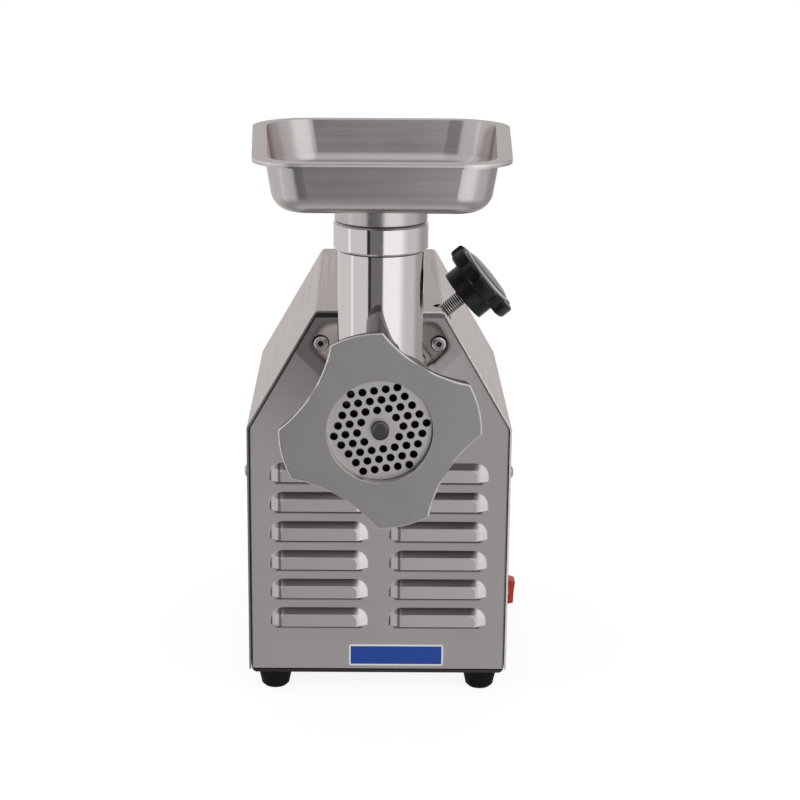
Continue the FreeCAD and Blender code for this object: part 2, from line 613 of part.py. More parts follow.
def gear(module, teeth, width, start_angle):
    """A spur gear with involute flanks and one tooth centred on the starting angle, in radians."""
    pitch = module * teeth / 2
    base = pitch * math.cos(math.radians(value("pressure_angle")))
    tip = pitch + module
    root = pitch - value("root_depth") * module
    half_tooth = math.pi / (2 * teeth) - value("backlash") / (4 * pitch)

    def spread(radius):
        """The angle by which an involute has unwound at a radius."""
        roll = math.sqrt(max((radius / base) ** 2 - 1, 0))
        return roll - math.atan(roll)

    low = max(base, root)
    radii = [low + (tip - low) * step / FLANK_STEPS for step in range(FLANK_STEPS + 1)]
    flank = [(radius, half_tooth + spread(pitch) - spread(radius)) for radius in radii]
    edges = []
    for tooth in range(teeth):
        middle = start_angle + 2 * math.pi * tooth / teeth
        following = middle + 2 * math.pi / teeth
        rising = [polar(radius, middle - angle) for radius, angle in flank]
        falling = [polar(radius, middle + angle) for radius, angle in reversed(flank)]
        foot = polar(root, middle - flank[0][1])
        heel = polar(root, middle + flank[0][1])
        next_foot = polar(root, following - flank[0][1])
        if root < low:
            edges.append(Part.LineSegment(foot, rising[0]).toShape())
        for side in (rising, falling):
            if side is falling:
                edges.append(Part.Arc(rising[-1], polar(tip, middle), falling[0]).toShape())
            curve = Part.BSplineCurve()
            curve.interpolate(side)
            edges.append(curve.toShape())
        if root < low:
            edges.append(Part.LineSegment(falling[-1], heel).toShape())
        edges.append(Part.Arc(heel, polar(root, (middle + following) / 2), next_foot).toShape())
    return Part.Face(Part.Wire(edges)).extrude(Vector(0, 0, width))


# Housing cover: one sheet folded over both sides, both slopes and the roof
inner_outline = house_outline("sheet", "cover_bottom")
cover_outline = house_outline("0", "cover_bottom") + list(reversed(inner_outline))
cover_fold = plate("cover_fold", cover_outline, "housing_depth", "back")
along_y = Vector(0, 1, 0)


def fold_test(inset):
    """A test for the four fold edges that lie a given distance inside the cover's outside."""
    folds = [Vector(value(x), 0, value(z)) for x, z in house_outline(inset, "cover_bottom")[1:-1]]

    def is_fold(edge):
        spot = Vector(edge.CenterOfMass.x, 0, edge.CenterOfMass.z)
        return parallel(edge, along_y) and min(spot.distanceToPoint(fold) for fold in folds) < TOUCH
    return is_fold


cover_outer = rounded("cover_outer", cover_fold, "bend_radius", fold_test("0"))
cover_bent = rounded("cover_bent", cover_outer, "bend_radius - sheet", fold_test("sheet"))
clamp_hole = cylinder("clamp_hole", "clamp_hole_radius", "knob_reach", "0", "0", "0", "clamp")
put_on_clamp(clamp_hole, "clamp_boss_reach")
switch_hole = box(
    "switch_hole", "half_width - 2 * sheet", "switch_y - bezel_width / 2 + bezel_lip",
    "switch_height - bezel_height / 2 + bezel_lip", "3 * sheet", "bezel_width - 2 * bezel_lip",
    "bezel_height - 2 * bezel_lip")

# Screws that hold the cover to the flanges of the panels and to the base tray
base_screw_z = "foot_height + base_wall - base_screw_drop"
screw_rows = [
    ("panel_face + flange_depth / 2 + sheet", "cover_screw_high"),
    ("rear_face - flange_depth / 2 - sheet", "cover_screw_high"),
    ("middle - cover_screw_low", base_screw_z),
    ("middle + cover_screw_low", base_screw_z),
]
screw_holes = [
    cylinder(f"cover_screw_hole_{i}", "cover_screw_radius + bolt_gap", "2 * housing_width",
             "-housing_width", y, z, "+X")
    for i, (y, z) in enumerate(screw_rows)
]
part("housing_cover", cut("cover", cover_bent, clamp_hole, switch_hole, *screw_holes))


def tapped_holes(name, y, z):
    """Holes through both flanges that a pair of cover screws grips."""
    return cylinder(name, "cover_screw_radius + press_gap", "housing_width", "-half_width", y, z, "+X")


def crossed(name, screw, low, high):
    """A screw with a cross recess between two heights on its own axis."""
    arms = (("cross_reach", "cross_width / 2"), ("cross_width / 2", "cross_reach"))
    bars = [
        box(f"{name}_bar_{i}", f"-({x})", f"-({y})", low, f"2 * ({x})", f"2 * ({y})", f"({high}) - ({low})")
        for i, (x, y) in enumerate(arms)
    ]
    return cut(f"{name}_crossed", screw, *bars)


cover_screw = turned("cover_screw", [
    ("0", "-cover_screw_length"), ("cover_screw_radius", "-cover_screw_length"),
    ("cover_screw_radius", "0"), ("cover_screw_head", "0"),
    ("cover_screw_head", "cover_screw_rise / 2"), ("cover_screw_crown", "cover_screw_rise"),
    ("0", "cover_screw_rise"),
])
cover_screw = crossed(
    "cover_screw", cover_screw, "cover_screw_rise - cross_depth", "cover_screw_rise + overcut")
part("cover_screws", group("cover_screw_group", cover_screw, [
    (vector(f"{sign} * half_width", y, z), way)
    for y, z in screw_rows for sign, way in (("1", "+X"), ("-1", "-X"))
]))

# Front panel: flat sheet with side flanges, a pressed recess, louvres and the holes for the head
front_sheet = plate("front_sheet", house_outline("sheet + panel_gap", "cover_bottom"), "sheet",
    "panel_back")


def side_flanges(name, y):
    """Two flanges along a panel's upright sides."""
    height = "shoulder_height - cover_bottom - bend_radius"
    left = box(f"{name}_left", "-panel_side", y, "cover_bottom", "sheet", "flange_depth", height)
    right = box(f"{name}_right", "panel_side - sheet", y, "cover_bottom", "sheet", "flange_depth", height)
    return [left, right]


def recess_outline(margin):
    """The recess: its sides follow the slopes and the roof, and it narrows below the upper bolts."""
    room = f"(sheet + panel_gap + {margin})"
    low = f"(recess_bottom + {margin} - recess_margin)"
    high = f"(roof_height - {room})"
    # On a slanted lower edge, x is the height plus this shift.
    shift = (f"(bolt_spread - axis_height - bolt_rise"
             f" + sqrt(2) * (recess_bolt_room + recess_margin - ({margin})))")
    # The line inside each slope, as x * cos(lean) + z * sin(lean).
    slope = f"(half_width * cos(lean) + shoulder_height * sin(lean) - {room})"
    waist = f"({slope} - {shift} * cos(lean)) / (cos(lean) + sin(lean))"
    right = [
        (f"{low} + {shift}", low),
        (f"{waist} + {shift}", waist),
        (f"({slope} - {high} * sin(lean)) / cos(lean)", high),
    ]
    left = [(f"-({x})", z) for x, z in reversed(right)]
    return right + left


def recess_block(name, margin, depth, y, corner):
    """A block with the recess's outline and round corners."""
    block = plate(f"{name}_block", recess_outline(margin), depth, y)
    return rounded(name, block, corner, lambda edge: parallel(edge, along_y))


recess_back = recess_block(
    "recess_back", "recess_margin - sheet", "recess_depth + sheet", "case_face", "recess_corner + sheet")
recess_hollow = recess_block(
    "recess_hollow", "recess_margin", "recess_depth + panel_inset", "case_face - sheet", "recess_corner")


def louvre_outline(half, height, corner, y):
    """The outline of a louvre at y: flat below, with two round upper corners."""
    bend = corner * (1 - math.sqrt(0.5))
    spots = [
        Vector(x, y, z) for x, z in (
            (-half, 0), (-half, height - corner), (-half + bend, height - bend), (-half + corner, height),
            (half - corner, height), (half - bend, height - bend), (half, height - corner), (half, 0))
    ]
    lines = [(0, 1), (3, 4), (6, 7), (7, 0)]
    edges = [Part.LineSegment(spots[a], spots[b]).toShape() for a, b in lines]
    arcs = [Part.Arc(*spots[1:4]).toShape(), Part.Arc(*spots[4:7]).toShape()]
    return Part.Wire([edges[0], arcs[0], edges[1], arcs[1], edges[2], edges[3]])


def louvre_hood(skin, depth_in):
    """One louvre as a solid hood that lies a skin's thickness inside the outer one.

    It rises from the panel's face over sloped flanks to a flat face, is flat below, and goes into the panel.
    """
    reach = value(f"louvre_reach - ({skin})")
    share = reach / value("louvre_reach")
    half = value(f"louvre_width / 2 - slope_skin * ({skin})")
    height = value(f"louvre_height - slope_skin * ({skin})")
    root = louvre_outline(half, height, value(f"louvre_corner - slope_skin * ({skin})"), 0)
    face = louvre_outline(
        half - share * value("louvre_end_flank"), height - share * value("louvre_top_flank"),
        value("louvre_face_corner"), -reach)
    flanks = Part.makeLoft([root, face], True, True)
    edges = [
        edge for edge in flanks.Edges
        if abs(edge.BoundBox.YMax + reach) < TOUCH and edge.BoundBox.ZMax > TOUCH
    ]
    flanks = flanks.makeFillet(value("louvre_edge"), edges)
    return flanks.fuse(Part.Face(root).extrude(Vector(0, value(depth_in), 0)))


def louvres(name, hood, drop):
    """Every louvre of the panel, in two columns."""
    doc.recompute()
    copies = []
    for r in range(int(value("louvre_rows"))):
        for side in (-1, 1):
            copy = hood.copy()
            z = f"louvre_top - louvre_height - {r} * louvre_pitch - ({drop})"
            copy.translate(vector(f"{side} * louvre_spread", "panel_face", z))
            copies.append(copy)
    return shaped(name, Part.makeCompound(copies))


hood_skins = louvres("hood_skins", louvre_hood("0", "sheet / 2"), "0")
hood_hollows = louvres("hood_hollows", louvre_hood("sheet", "2 * sheet"), "louvre_slit")
neck_hole = cylinder("neck_hole", "neck_radius + 4 * neck_gap", "housing_depth / 4", "0", "front",
    "axis_height")
bolt_spots = [(sx, sz) for sz in ("1", "-1") for sx in ("-1", "1")]
# The upper bolts sit in the recess, the lower ones on the panel's face.
bolt_seats = {"1": "case_face - sheet", "-1": "panel_face"}
bolt_holes = [
    cylinder(f"bolt_hole_{i}", "bolt_radius + bolt_gap", "housing_depth / 10", f"{sx} * bolt_spread",
             "front", f"axis_height + {sz} * bolt_rise")
    for i, (sx, sz) in enumerate(bolt_spots)
]
front_body = fuse("front_body", front_sheet, *side_flanges("front_flange", "panel_face"), recess_back,
    hood_skins)
part("front_panel", cut(
    "front", front_body, recess_hollow, hood_hollows, neck_hole, *bolt_holes,
    tapped_holes("front_tapped", *screw_rows[0])))

nameplate_block = box(
    "nameplate_block", "nameplate_shift - nameplate_width / 2", "panel_face - nameplate_thickness",
    "nameplate_centre - nameplate_height / 2", "nameplate_width", "nameplate_thickness", "nameplate_height")
part("blank_nameplate", rounded("nameplate", nameplate_block, "nameplate_corner",
    lambda edge: parallel(edge, along_y)))

# Rear panel with its vent slots and the cable inlet
rear_sheet = plate("rear_sheet", house_outline("sheet + panel_gap", "cover_bottom"), "sheet", "rear_face")
vents = [
    box(f"vent_{r}_{c}", f"{side} * vent_spread - vent_width / 2", "rear_inside - sheet",
        f"vent_lowest + {r} * vent_pitch", "vent_width", "3 * sheet", "vent_height")
    for r in range(int(value("vent_rows"))) for c, side in enumerate(("-1", "1"))
]
inlet_hole = cylinder(
    "inlet_hole", "inlet_body_radius + bolt_gap", "4 * sheet", "inlet_x", "rear_inside - sheet",
    "inlet_height")
rear_body = fuse("rear_body", rear_sheet, *side_flanges("rear_flange", "rear_face - flange_depth"))
part("rear_panel", cut("rear", rear_body, inlet_hole, tapped_holes("rear_tapped", *screw_rows[1]), *vents))
inlet = turned("inlet", [
    ("inlet_radius", "-inlet_nut_length - 4 * sheet"),
    ("inlet_body_radius", "-inlet_nut_length - 4 * sheet"), ("inlet_body_radius", "0"),
    ("inlet_head_radius", "0"), ("inlet_head_radius", "inlet_grip_length"),
    ("inlet_cone_radius", "inlet_cone_end"),
    ("inlet_tip_radius", "inlet_head_length"), ("inlet_radius", "inlet_head_length"),
])
part("cable_inlet", put(inlet, "inlet_x", "rear_face", "inlet_height", "+Y"))
part("inlet_lock_nut", tube(
    "inlet_nut", "inlet_head_radius", "inlet_body_radius + press_gap", "inlet_nut_length",
    "inlet_x", "rear_inside", "inlet_height", "-Y"))

# Base tray, feet and their screws
tray_length = "rear_inside - panel_back"
tray_block = box("tray_block", "-panel_side", "panel_back", "foot_height", "2 * panel_side", tray_length,
    "base_wall")
tray_room = box(
    "tray_room", "-panel_side + base_sheet", "panel_back + base_sheet", "base_top",
    "2 * (panel_side - base_sheet)",
    f"{tray_length} - 2 * base_sheet", "base_wall")
tray_bent = rounded(
    "tray_bent", tray_block, "base_bend",
    lambda edge: parallel(edge, along_y) and edge.CenterOfMass.z < value("base_top"))
tray_clear = [
    box(f"tray_clear_{name}", x, y, "cover_bottom", "half_width - panel_side + 2 * sheet",
        "flange_depth + sheet", "base_wall")
    for name, x, y in (
        ("front_left", "-half_width", "panel_face"),
        ("front_right", "panel_side - 2 * sheet", "panel_face"),
        ("rear_left", "-half_width", "rear_face - flange_depth - sheet"),
        ("rear_right", "panel_side - 2 * sheet", "rear_face - flange_depth - sheet"))
]
foot_spots = [
    (f"{sx} * (half_width - foot_side_inset)", f"middle + {sy} * (housing_depth / 2 - foot_end_inset)")
    for sx in ("-1", "1") for sy in ("-1", "1")
]
foot_holes = [
    cylinder(f"foot_hole_{i}", "foot_bore", "base_wall", x, y, "0", "+Z")
    for i, (x, y) in enumerate(foot_spots)
]
tray_screw_holes = [tapped_holes(f"tray_tapped_{i}", y, z) for i, (y, z) in enumerate(screw_rows[2:])]
part("base_tray", cut("tray", tray_bent, tray_room, *tray_clear, *foot_holes, *tray_screw_holes))
foot = turned("foot", [
    ("foot_bore", "foot_head_depth"), ("foot_head_radius + bolt_gap", "foot_head_depth"),
    ("foot_head_radius + bolt_gap", "0"), ("foot_tip_radius - foot_chamfer", "0"),
    ("foot_tip_radius", "foot_chamfer"),
    ("foot_radius", "foot_height - foot_band"), ("foot_radius", "foot_height"),
    ("foot_bore", "foot_height"),
])
part("rubber_feet", group("foot_group", foot, [(vector(x, y, "0"), "+Z") for x, y in foot_spots]))
foot_screw = turned("foot_screw", [
    ("0", "foot_head_sunk"), ("foot_head_radius", "foot_head_sunk"),
    ("foot_head_radius", "foot_head_depth"),
    ("foot_screw_radius", "foot_head_depth"), ("foot_screw_radius", "base_top + foot_screw_end"),
    ("0", "base_top + foot_screw_end"),
])
foot_screw = crossed("foot_screw", foot_screw, "foot_head_sunk - overcut", "foot_head_sunk + cross_depth")
part("foot_screws", group(
    "foot_screw_group", foot_screw, [(vector(x, y, "0"), "+Z") for x, y in foot_spots]))

# Gear case: mounting flange, socket for the head, boss for the clamp screw and the gear chamber
case_flange = box(
    "case_flange_block", "-bolt_spread - flange_edge", "case_face", "axis_height - bolt_rise - flange_edge",
    "2 * (bolt_spread + flange_edge)", "case_flange", "2 * (bolt_rise + flange_edge)")
case_flange = rounded("case_flange_round", case_flange, "flange_edge", lambda edge: parallel(edge, along_y))
socket_tube = cylinder(
    "socket_tube", "neck_radius + socket_wall", "cavity_face - case_face", "0", "case_face", "axis_height")
clamp_boss = cylinder(
    "clamp_boss", "clamp_boss_radius", "clamp_boss_reach - clamp_flat", "0", "0", "0", "clamp")
put_on_clamp(clamp_boss, "clamp_flat")


def chamber(name, wall, y, length):
    """The gear chamber's outline: three round rooms joined by blocks."""
    rooms = [("output_room", "axis_height"), ("lay_room", "lay_height"), ("motor_room", "motor_height")]
    pieces = [
        cylinder(f"{name}_{i}", f"{radius} + {wall}", length, "0", y, z)
        for i, (radius, z) in enumerate(rooms)
    ]
    upper = box(
        f"{name}_upper", f"-(output_room + {wall}) * chamber_web", y, "lay_height",
        f"2 * (output_room + {wall}) * chamber_web",
        length, "slow_distance")
    lower = box(
        f"{name}_lower", f"-(motor_room + {wall}) * chamber_web", y, "motor_height",
        f"2 * (motor_room + {wall}) * chamber_web",
        length, "fast_distance")
    return fuse(name, *pieces, upper, lower)


# Pads on the flange reach forward to the panel below the recess
case_pads = [
    cylinder(f"case_pad_{sx}", "flange_edge", "case_face - panel_back + case_flange", f"{sx} * bolt_spread",
    "panel_back",
             "axis_height - bolt_rise")
    for sx in ("-1", "1")
]
chamber_face = "cavity_face - case_front_wall"
chamber_length = "cavity_end - cavity_face + case_front_wall"
ear_spots = [
    ("output_room * cos(45) + case_wall + ear_offset", "axis_height + output_room * sin(45)"),
    ("lay_room + case_wall + ear_offset", "lay_height"),
    ("motor_room + case_wall + ear_offset", "motor_height + case_ear"),
]
ear_places = [(f"{sign} * ({x})", z) for x, z in ear_spots for sign in ("1", "-1")]


def ears(name, y, length):
    """The screw ears around the gear chamber."""
    return [cylinder(f"{name}_{i}", "case_ear", length, x, y, z) for i, (x, z) in enumerate(ear_places)]


def ear_holes(name, y, length):
    """The screw holes in those ears."""
    return [
        cylinder(f"{name}_{i}", "case_screw_radius + press_gap", length, x, y, z)
        for i, (x, z) in enumerate(ear_places)
    ]


case_outside = fuse(
    "case_outside", case_flange, *case_pads, socket_tube, clamp_boss,
    chamber("chamber_shell", "case_wall", chamber_face, chamber_length),
    *ears("case_ear_block", "cavity_end - case_front_wall", "case_front_wall"))
socket_bore = cylinder(
    "socket_bore", "neck_radius + neck_gap", "seal_face - panel_face", "0", "panel_face", "axis_height")
seal_bore = cylinder(
    "seal_bore", "output_bearing_radius + press_gap", "cavity_face - panel_face", "0", "panel_face",
    "axis_height")
stud_bore = cylinder(
    "stud_bore", "clamp_stud_radius + running_gap", "clamp_boss_reach", "0", "0", "0", "clamp")
put_on_clamp(stud_bore, "clamp_flat / 2")
lay_seat = cylinder(
    "lay_seat", "lay_bearing_radius + press_gap", "lay_bearing_width + gear_gap", "0",
    "cavity_face - lay_bearing_width", "lay_height")
case_bolt_holes = [
    cylinder(f"case_bolt_hole_{i}", "bolt_radius + press_gap", "case_flange * 2", f"{sx} * bolt_spread",
    "panel_face",
             f"axis_height + {sz} * bolt_rise")
    for i, (sx, sz) in enumerate(bolt_spots)
]
part("gear_case", cut(
    "case", case_outside, socket_bore, seal_bore, stud_bore, lay_seat,
    chamber("chamber_room", "0", "cavity_face", "cavity_end - cavity_face + overcut"), *case_bolt_holes,
    *ear_holes("case_ear_hole", "cavity_end - case_front_wall + blind_floor", "case_front_wall")))

cover_plate = fuse(
    "cover_plate", chamber("cover_plate_body", "case_wall", "cavity_end", "case_cover"),
    *ears("cover_ear", "cavity_end", "case_cover"))
output_seat = cylinder(
    "output_seat", "tail_bearing_radius + press_gap", "lay_bearing_width", "0", "cavity_end", "axis_height")
lay_rear_seat = cylinder(
    "lay_rear_seat", "lay_bearing_radius + press_gap", "lay_bearing_width", "0", "cavity_end", "lay_height")
rotor_passage = cylinder(
    "rotor_passage", "motor_room", "case_cover", "0", "cavity_end", "motor_height")
head_pockets = [
    cylinder(f"case_head_pocket_{i}", "case_screw_head + bolt_gap", "case_screw_sink", x,
    "cover_end - case_screw_sink", z)
    for i, (x, z) in enumerate(ear_places)
]
part("gear_case_cover", cut(
    "case_cover_cut", cover_plate, output_seat, lay_rear_seat, rotor_passage, *head_pockets,
    *ear_holes("cover_ear_hole", "cavity_end", "case_cover")))
case_screw_tip = "-case_cover - case_front_wall + 2 * case_screw_sink"
case_screw = turned("case_screw", [
    ("0", case_screw_tip), ("case_screw_radius", case_screw_tip), ("case_screw_radius", "0"),
    ("case_screw_head", "0"),
    ("case_screw_head", "case_screw_sink - bolt_gap"), ("0", "case_screw_sink - bolt_gap"),
])
case_screw_top = "case_screw_sink - bolt_gap"
case_screw = crossed(
    "case_screw", case_screw, f"{case_screw_top} - cross_depth", f"{case_screw_top} + overcut")
part("gear_case_screws", group("case_screw_group", case_screw, [
    (vector(x, "cover_end - case_screw_sink", z), "+Y") for x, z in ear_places
]))

# Bolts that hold the gear case to the front panel, with hexagon sockets
head_bolt_body = turned("head_bolt_body", [
    ("0", "-case_flange - sheet"), ("bolt_radius", "-case_flange - sheet"), ("bolt_radius", "0"),
    ("bolt_head_radius", "0"), ("bolt_head_radius", "bolt_head_edge"),
    ("bolt_dome_radius", "bolt_dome_height"), ("bolt_crown", "bolt_head_height"),
    ("0", "bolt_head_height"),
])
hexagon = doc.addObject("Part::Prism", "bolt_hexagon")
hexagon.Polygon = 6
bind(hexagon, {"Circumradius": "bolt_socket", "Height": "bolt_socket_depth + overcut"})
put(hexagon, "0", "0", "bolt_head_height - bolt_socket_depth")
head_bolt = cut("head_bolt", head_bolt_body, hexagon)
part("head_bolts", group("head_bolt_group", head_bolt, [
    (vector(f"{sx} * bolt_spread", bolt_seats[sz], f"axis_height + {sz} * bolt_rise"), "-Y")
    for sx, sz in bolt_spots
]))


def bearing(name, outer, inner, width, y, z):
    """A ball bearing as one ring, with the groove between its races on both faces."""
    middle = f"({outer} + {inner}) / 2"
    land = f"({outer} - ({inner})) / 5"
    body = turned(name, [
        (inner, "0"), (f"{middle} - {land}", "0"), (f"{middle} - {land}", "race_groove"),
        (f"{middle} + {land}", "race_groove"), (f"{middle} + {land}", "0"), (outer, "0"), (outer, width),
        (f"{middle} + {land}", width), (f"{middle} + {land}", f"{width} - race_groove"),
        (f"{middle} - {land}", f"{width} - race_groove"), (f"{middle} - {land}", width), (inner, width),
    ])
    return put(body, "0", y, z, "+Y")


def pair(name, first, second):
    """Two separate pieces kept together under one name."""
    item = doc.addObject("Part::Compound", name)
    item.Links = [first, second]
    return item


part("output_seal", tube(
    "seal_ring", "output_bearing_radius", "output_shaft_radius + running_gap", "seal_width", "0",
    "seal_face",
    "axis_height"))
part("output_bearings", pair(
    "output_bearing_pair",
    bearing("output_front", "output_bearing_radius", "output_shaft_radius + running_gap",
    "output_bearing_width",
            "bearing_face", "axis_height"),
    bearing("output_rear", "tail_bearing_radius", "output_tail_radius + running_gap", "lay_bearing_width",
            "cavity_end", "axis_height")))
part("layshaft_bearings", pair(
    "layshaft_bearing_pair",
    bearing("lay_front", "lay_bearing_radius", "layshaft_radius + running_gap", "lay_bearing_width",
            "cavity_face - lay_bearing_width", "lay_height"),
    bearing("lay_rear", "lay_bearing_radius", "layshaft_radius + running_gap", "lay_bearing_width",
            "cavity_end", "lay_height")))
part("motor_bearings", pair(
    "motor_bearing_pair",
    bearing("motor_front", "motor_bearing_radius", "rotor_shaft_radius + running_gap",
    "motor_bearing_width",
            "shield_end - motor_bearing_width", "motor_height"),
    bearing("motor_rear", "motor_bearing_radius", "rotor_shaft_radius + running_gap", "motor_bearing_width",
            "rear_shield", "motor_height")))


def gear_piece(name, module, teeth, width, y, z, tooth_up, bore=None):
    """A gear on a shaft across the machine, with a tooth or a gap that points up."""
    count = int(value(teeth))
    start = math.pi / 2 if tooth_up else -math.pi / 2 + math.pi / count
    solid = gear(value(module), count, value(width), start)
    if bore:
        solid = solid.cut(Part.makeCylinder(value(bore), value(width)))
    item = shaped(name, solid)
    item.Placement = Placement(vector("0", f"{y} + {width}", z), DIRECTIONS["-Y"])
    return item


# Output shaft with the square hole for the auger's tail, and its gear
output_bar = turned("output_bar", [
    ("0", "0"), ("output_shaft_radius", "0"), ("output_shaft_radius", "slow_face + slow_width - seal_face"),
    ("output_tail_radius", "slow_face + slow_width - seal_face"),
    ("output_tail_radius", "cavity_end + lay_bearing_width - shaft_end_gap - seal_face"),
    ("0", "cavity_end + lay_bearing_width - shaft_end_gap - seal_face"),
])
put(output_bar, "0", "seal_face", "axis_height", "+Y")
square_room = "tail_square / 2 + tail_gap"
square_hole = box(
    "square_hole", f"-({square_room})", "seal_face - overcut", f"axis_height - ({square_room})",
    f"2 * ({square_room})",
    "tail_length + 2 * overcut", f"2 * ({square_room})")
part("output_shaft", cut("output_shaft_cut", output_bar, square_hole))
part("output_gear", gear_piece(
    "output_wheel", "slow_module", "output_teeth", "slow_width", "slow_face", "axis_height", False,
    "output_shaft_radius + press_gap"))

# Layshaft: its pinion drives the output gear, its gear is driven by the motor
lay_bar = turned("lay_bar", [
    ("0", "-lay_bearing_width + shaft_end_gap"), ("layshaft_radius", "-lay_bearing_width + shaft_end_gap"),
    ("layshaft_radius", "cavity_end - cavity_face + lay_bearing_width - shaft_end_gap"),
    ("0", "cavity_end - cavity_face + lay_bearing_width - shaft_end_gap"),
])
put(lay_bar, "0", "cavity_face", "lay_height", "+Y")
lay_pinion = gear_piece(
    "lay_pinion", "slow_module", "slow_pinion_teeth", "slow_width", "slow_face", "lay_height", True)
part("layshaft", fuse("layshaft_fuse", lay_bar, lay_pinion))
part("layshaft_gear", gear_piece(
    "lay_wheel", "fast_module", "layshaft_teeth", "fast_width", "fast_face", "lay_height", False,
    "layshaft_radius + press_gap"))

# Motor: rotor with its pinion, core and fan
rotor_bar = turned("rotor_bar", [
    ("0", "0"), ("rotor_shaft_radius", "0"), ("rotor_shaft_radius", "fan_end - fast_face"),
    ("0", "fan_end - fast_face"),
])
put(rotor_bar, "0", "fast_face", "motor_height", "+Y")
motor_pinion = gear_piece(
    "motor_pinion", "fast_module", "motor_teeth", "fast_width", "fast_face", "motor_height", True)
part("rotor_shaft", fuse("rotor_shaft_fuse", rotor_bar, motor_pinion))
part("rotor_core", tube(
    "rotor_stack", "stator_bore - air_gap", "rotor_shaft_radius + press_gap", "stator_length", "0",
    "stator_face",
    "motor_height"))
fan_wheel = turned("fan_wheel", [
    ("rotor_shaft_radius + press_gap", "0"), ("fan_radius", "0"), ("fan_radius", "fan_disc"),
    ("fan_hub_radius", "fan_disc"), ("fan_hub_radius", "fan_disc + fan_width"),
    ("rotor_shaft_radius + press_gap", "fan_disc + fan_width"),
])
put(fan_wheel, "0", "fan_face", "motor_height", "+Y")
doc.recompute()
blade = Part.makeBox(value("fan_radius - fan_hub_radius"), value("fan_disc"),
    value("fan_width + fan_disc / 2"))
blades = []
for i in range(int(value("fan_blades"))):
    one = blade.copy()
    one.translate(vector("fan_hub_radius - overlap", "-fan_disc / 2", "fan_disc / 2"))
    one.rotate(Vector(), Vector(0, 0, 1), 360 * i / value("fan_blades"))
    blades.append(one)
fan_blades = shaped("fan_blade_set", Part.makeCompound(blades))
fan_blades.Placement = Placement(vector("0", "fan_face", "motor_height"), DIRECTIONS["+Y"])
part("motor_fan", fuse("fan_fuse", fan_wheel, fan_blades))

# Motor: stator, windings and end shields held together by four through bolts
through_spots = [
    (f"through_bolt_circle * cos({angle})", f"motor_height + through_bolt_circle * sin({angle})")
    for angle in (45, 135, 225, 315)
]


def through_holes(name, y, length):
    """The holes for the motor's through bolts."""
    return [
        cylinder(f"{name}_{i}", "through_bolt_radius + press_gap", length, x, y, z)
        for i, (x, z) in enumerate(through_spots)
    ]


stator_ring = tube("stator_ring", "motor_radius", "stator_bore", "stator_length", "0", "stator_face",
    "motor_height")
part("stator_core", cut("stator_cut", stator_ring, *through_holes("stator_hole", "stator_face",
    "stator_length")))
part("stator_windings", pair(
    "winding_pair",
    tube("winding_front", "winding_outer", "winding_inner", "winding_length", "0",
    "stator_face - winding_length",
         "motor_height"),
    tube("winding_rear", "winding_outer", "winding_inner", "winding_length", "0", "stator_end",
    "motor_height")))


def end_shield(name, y, seat_y, rim_y):
    """A motor end shield: a disc with a bearing seat and a rim that reaches the stator."""
    disc = cylinder(f"{name}_disc", "motor_radius", "shield_thickness", "0", y, "motor_height")
    rim_length = "winding_length + winding_gap"
    rim = tube(f"{name}_rim", "motor_radius", "winding_outer + winding_gap", rim_length, "0", rim_y,
        "motor_height")
    passage = cylinder(f"{name}_passage", "rotor_shaft_radius + shaft_clear", "shield_thickness", "0", y,
        "motor_height")
    seat = cylinder(f"{name}_seat", "motor_bearing_radius + press_gap", "motor_bearing_width", "0", seat_y,
        "motor_height")
    holes = through_holes(
        f"{name}_hole", f"{y} - 2 * ({rim_length})", f"shield_thickness + 4 * ({rim_length})")
    return cut(name, fuse(f"{name}_body", disc, rim), passage, seat, *holes)


part("motor_front_shield", end_shield("front_shield", "cover_end", "shield_end - motor_bearing_width",
    "shield_end"))
part("motor_rear_shield", end_shield("rear_shield_piece", "rear_shield", "rear_shield", "stator_end"))
through_bolt = turned("through_bolt", [
    ("0", "cover_end - rear_shield_end"), ("through_bolt_radius", "cover_end - rear_shield_end"),
    ("through_bolt_radius", "0"), ("through_bolt_head", "0"), ("through_bolt_head", "through_bolt_rise"),
    ("0", "through_bolt_rise"),
])
part("motor_through_bolts", group("through_bolt_group", through_bolt, [
    (vector(x, "rear_shield_end", z), "+Y") for x, z in through_spots
]))

# Cradle under the motor, and the run capacitor in its clip
cradle_y = "(stator_face + stator_end) / 2 - cradle_length / 2"
cradle_height = "motor_height - motor_radius + cradle_rise - base_top"
cradle_block = box("cradle_block", "-cradle_width / 2", cradle_y, "base_top", "cradle_width",
    "cradle_length", cradle_height)
cradle_saddle = cylinder("cradle_saddle", "motor_radius + press_gap", "cradle_length", "0", cradle_y,
    "motor_height")
cradle_room = box(
    "cradle_room", "-cradle_width / 2 + cradle_wall", cradle_y, "base_top + cradle_wall",
    "cradle_width - 2 * cradle_wall", "cradle_length",
    "motor_height - motor_radius - base_top - 2 * cradle_wall")
part("motor_cradle", cut("cradle", cradle_block, cradle_saddle, cradle_room))
capacitor_z = "base_top + clip_sheet + capacitor_radius"
capacitor = turned("capacitor", [
    ("0", "0"), ("capacitor_radius - capacitor_edge", "0"), ("capacitor_radius", "capacitor_edge"),
    ("capacitor_radius", "capacitor_length"),
    ("terminal_radius", "capacitor_length"), ("terminal_radius", "capacitor_length + terminal_length"),
    ("0", "capacitor_length + terminal_length"),
])
part("run_capacitor", put(capacitor, "capacitor_x", "middle + capacitor_back", capacitor_z, "+Y"))
clip_y = "middle + capacitor_back + capacitor_length / 2 - clip_width / 2"
clip_ring = tube(
    "clip_ring", "capacitor_radius + clip_sheet", "capacitor_radius + press_gap", "clip_width",
    "capacitor_x", clip_y, capacitor_z)
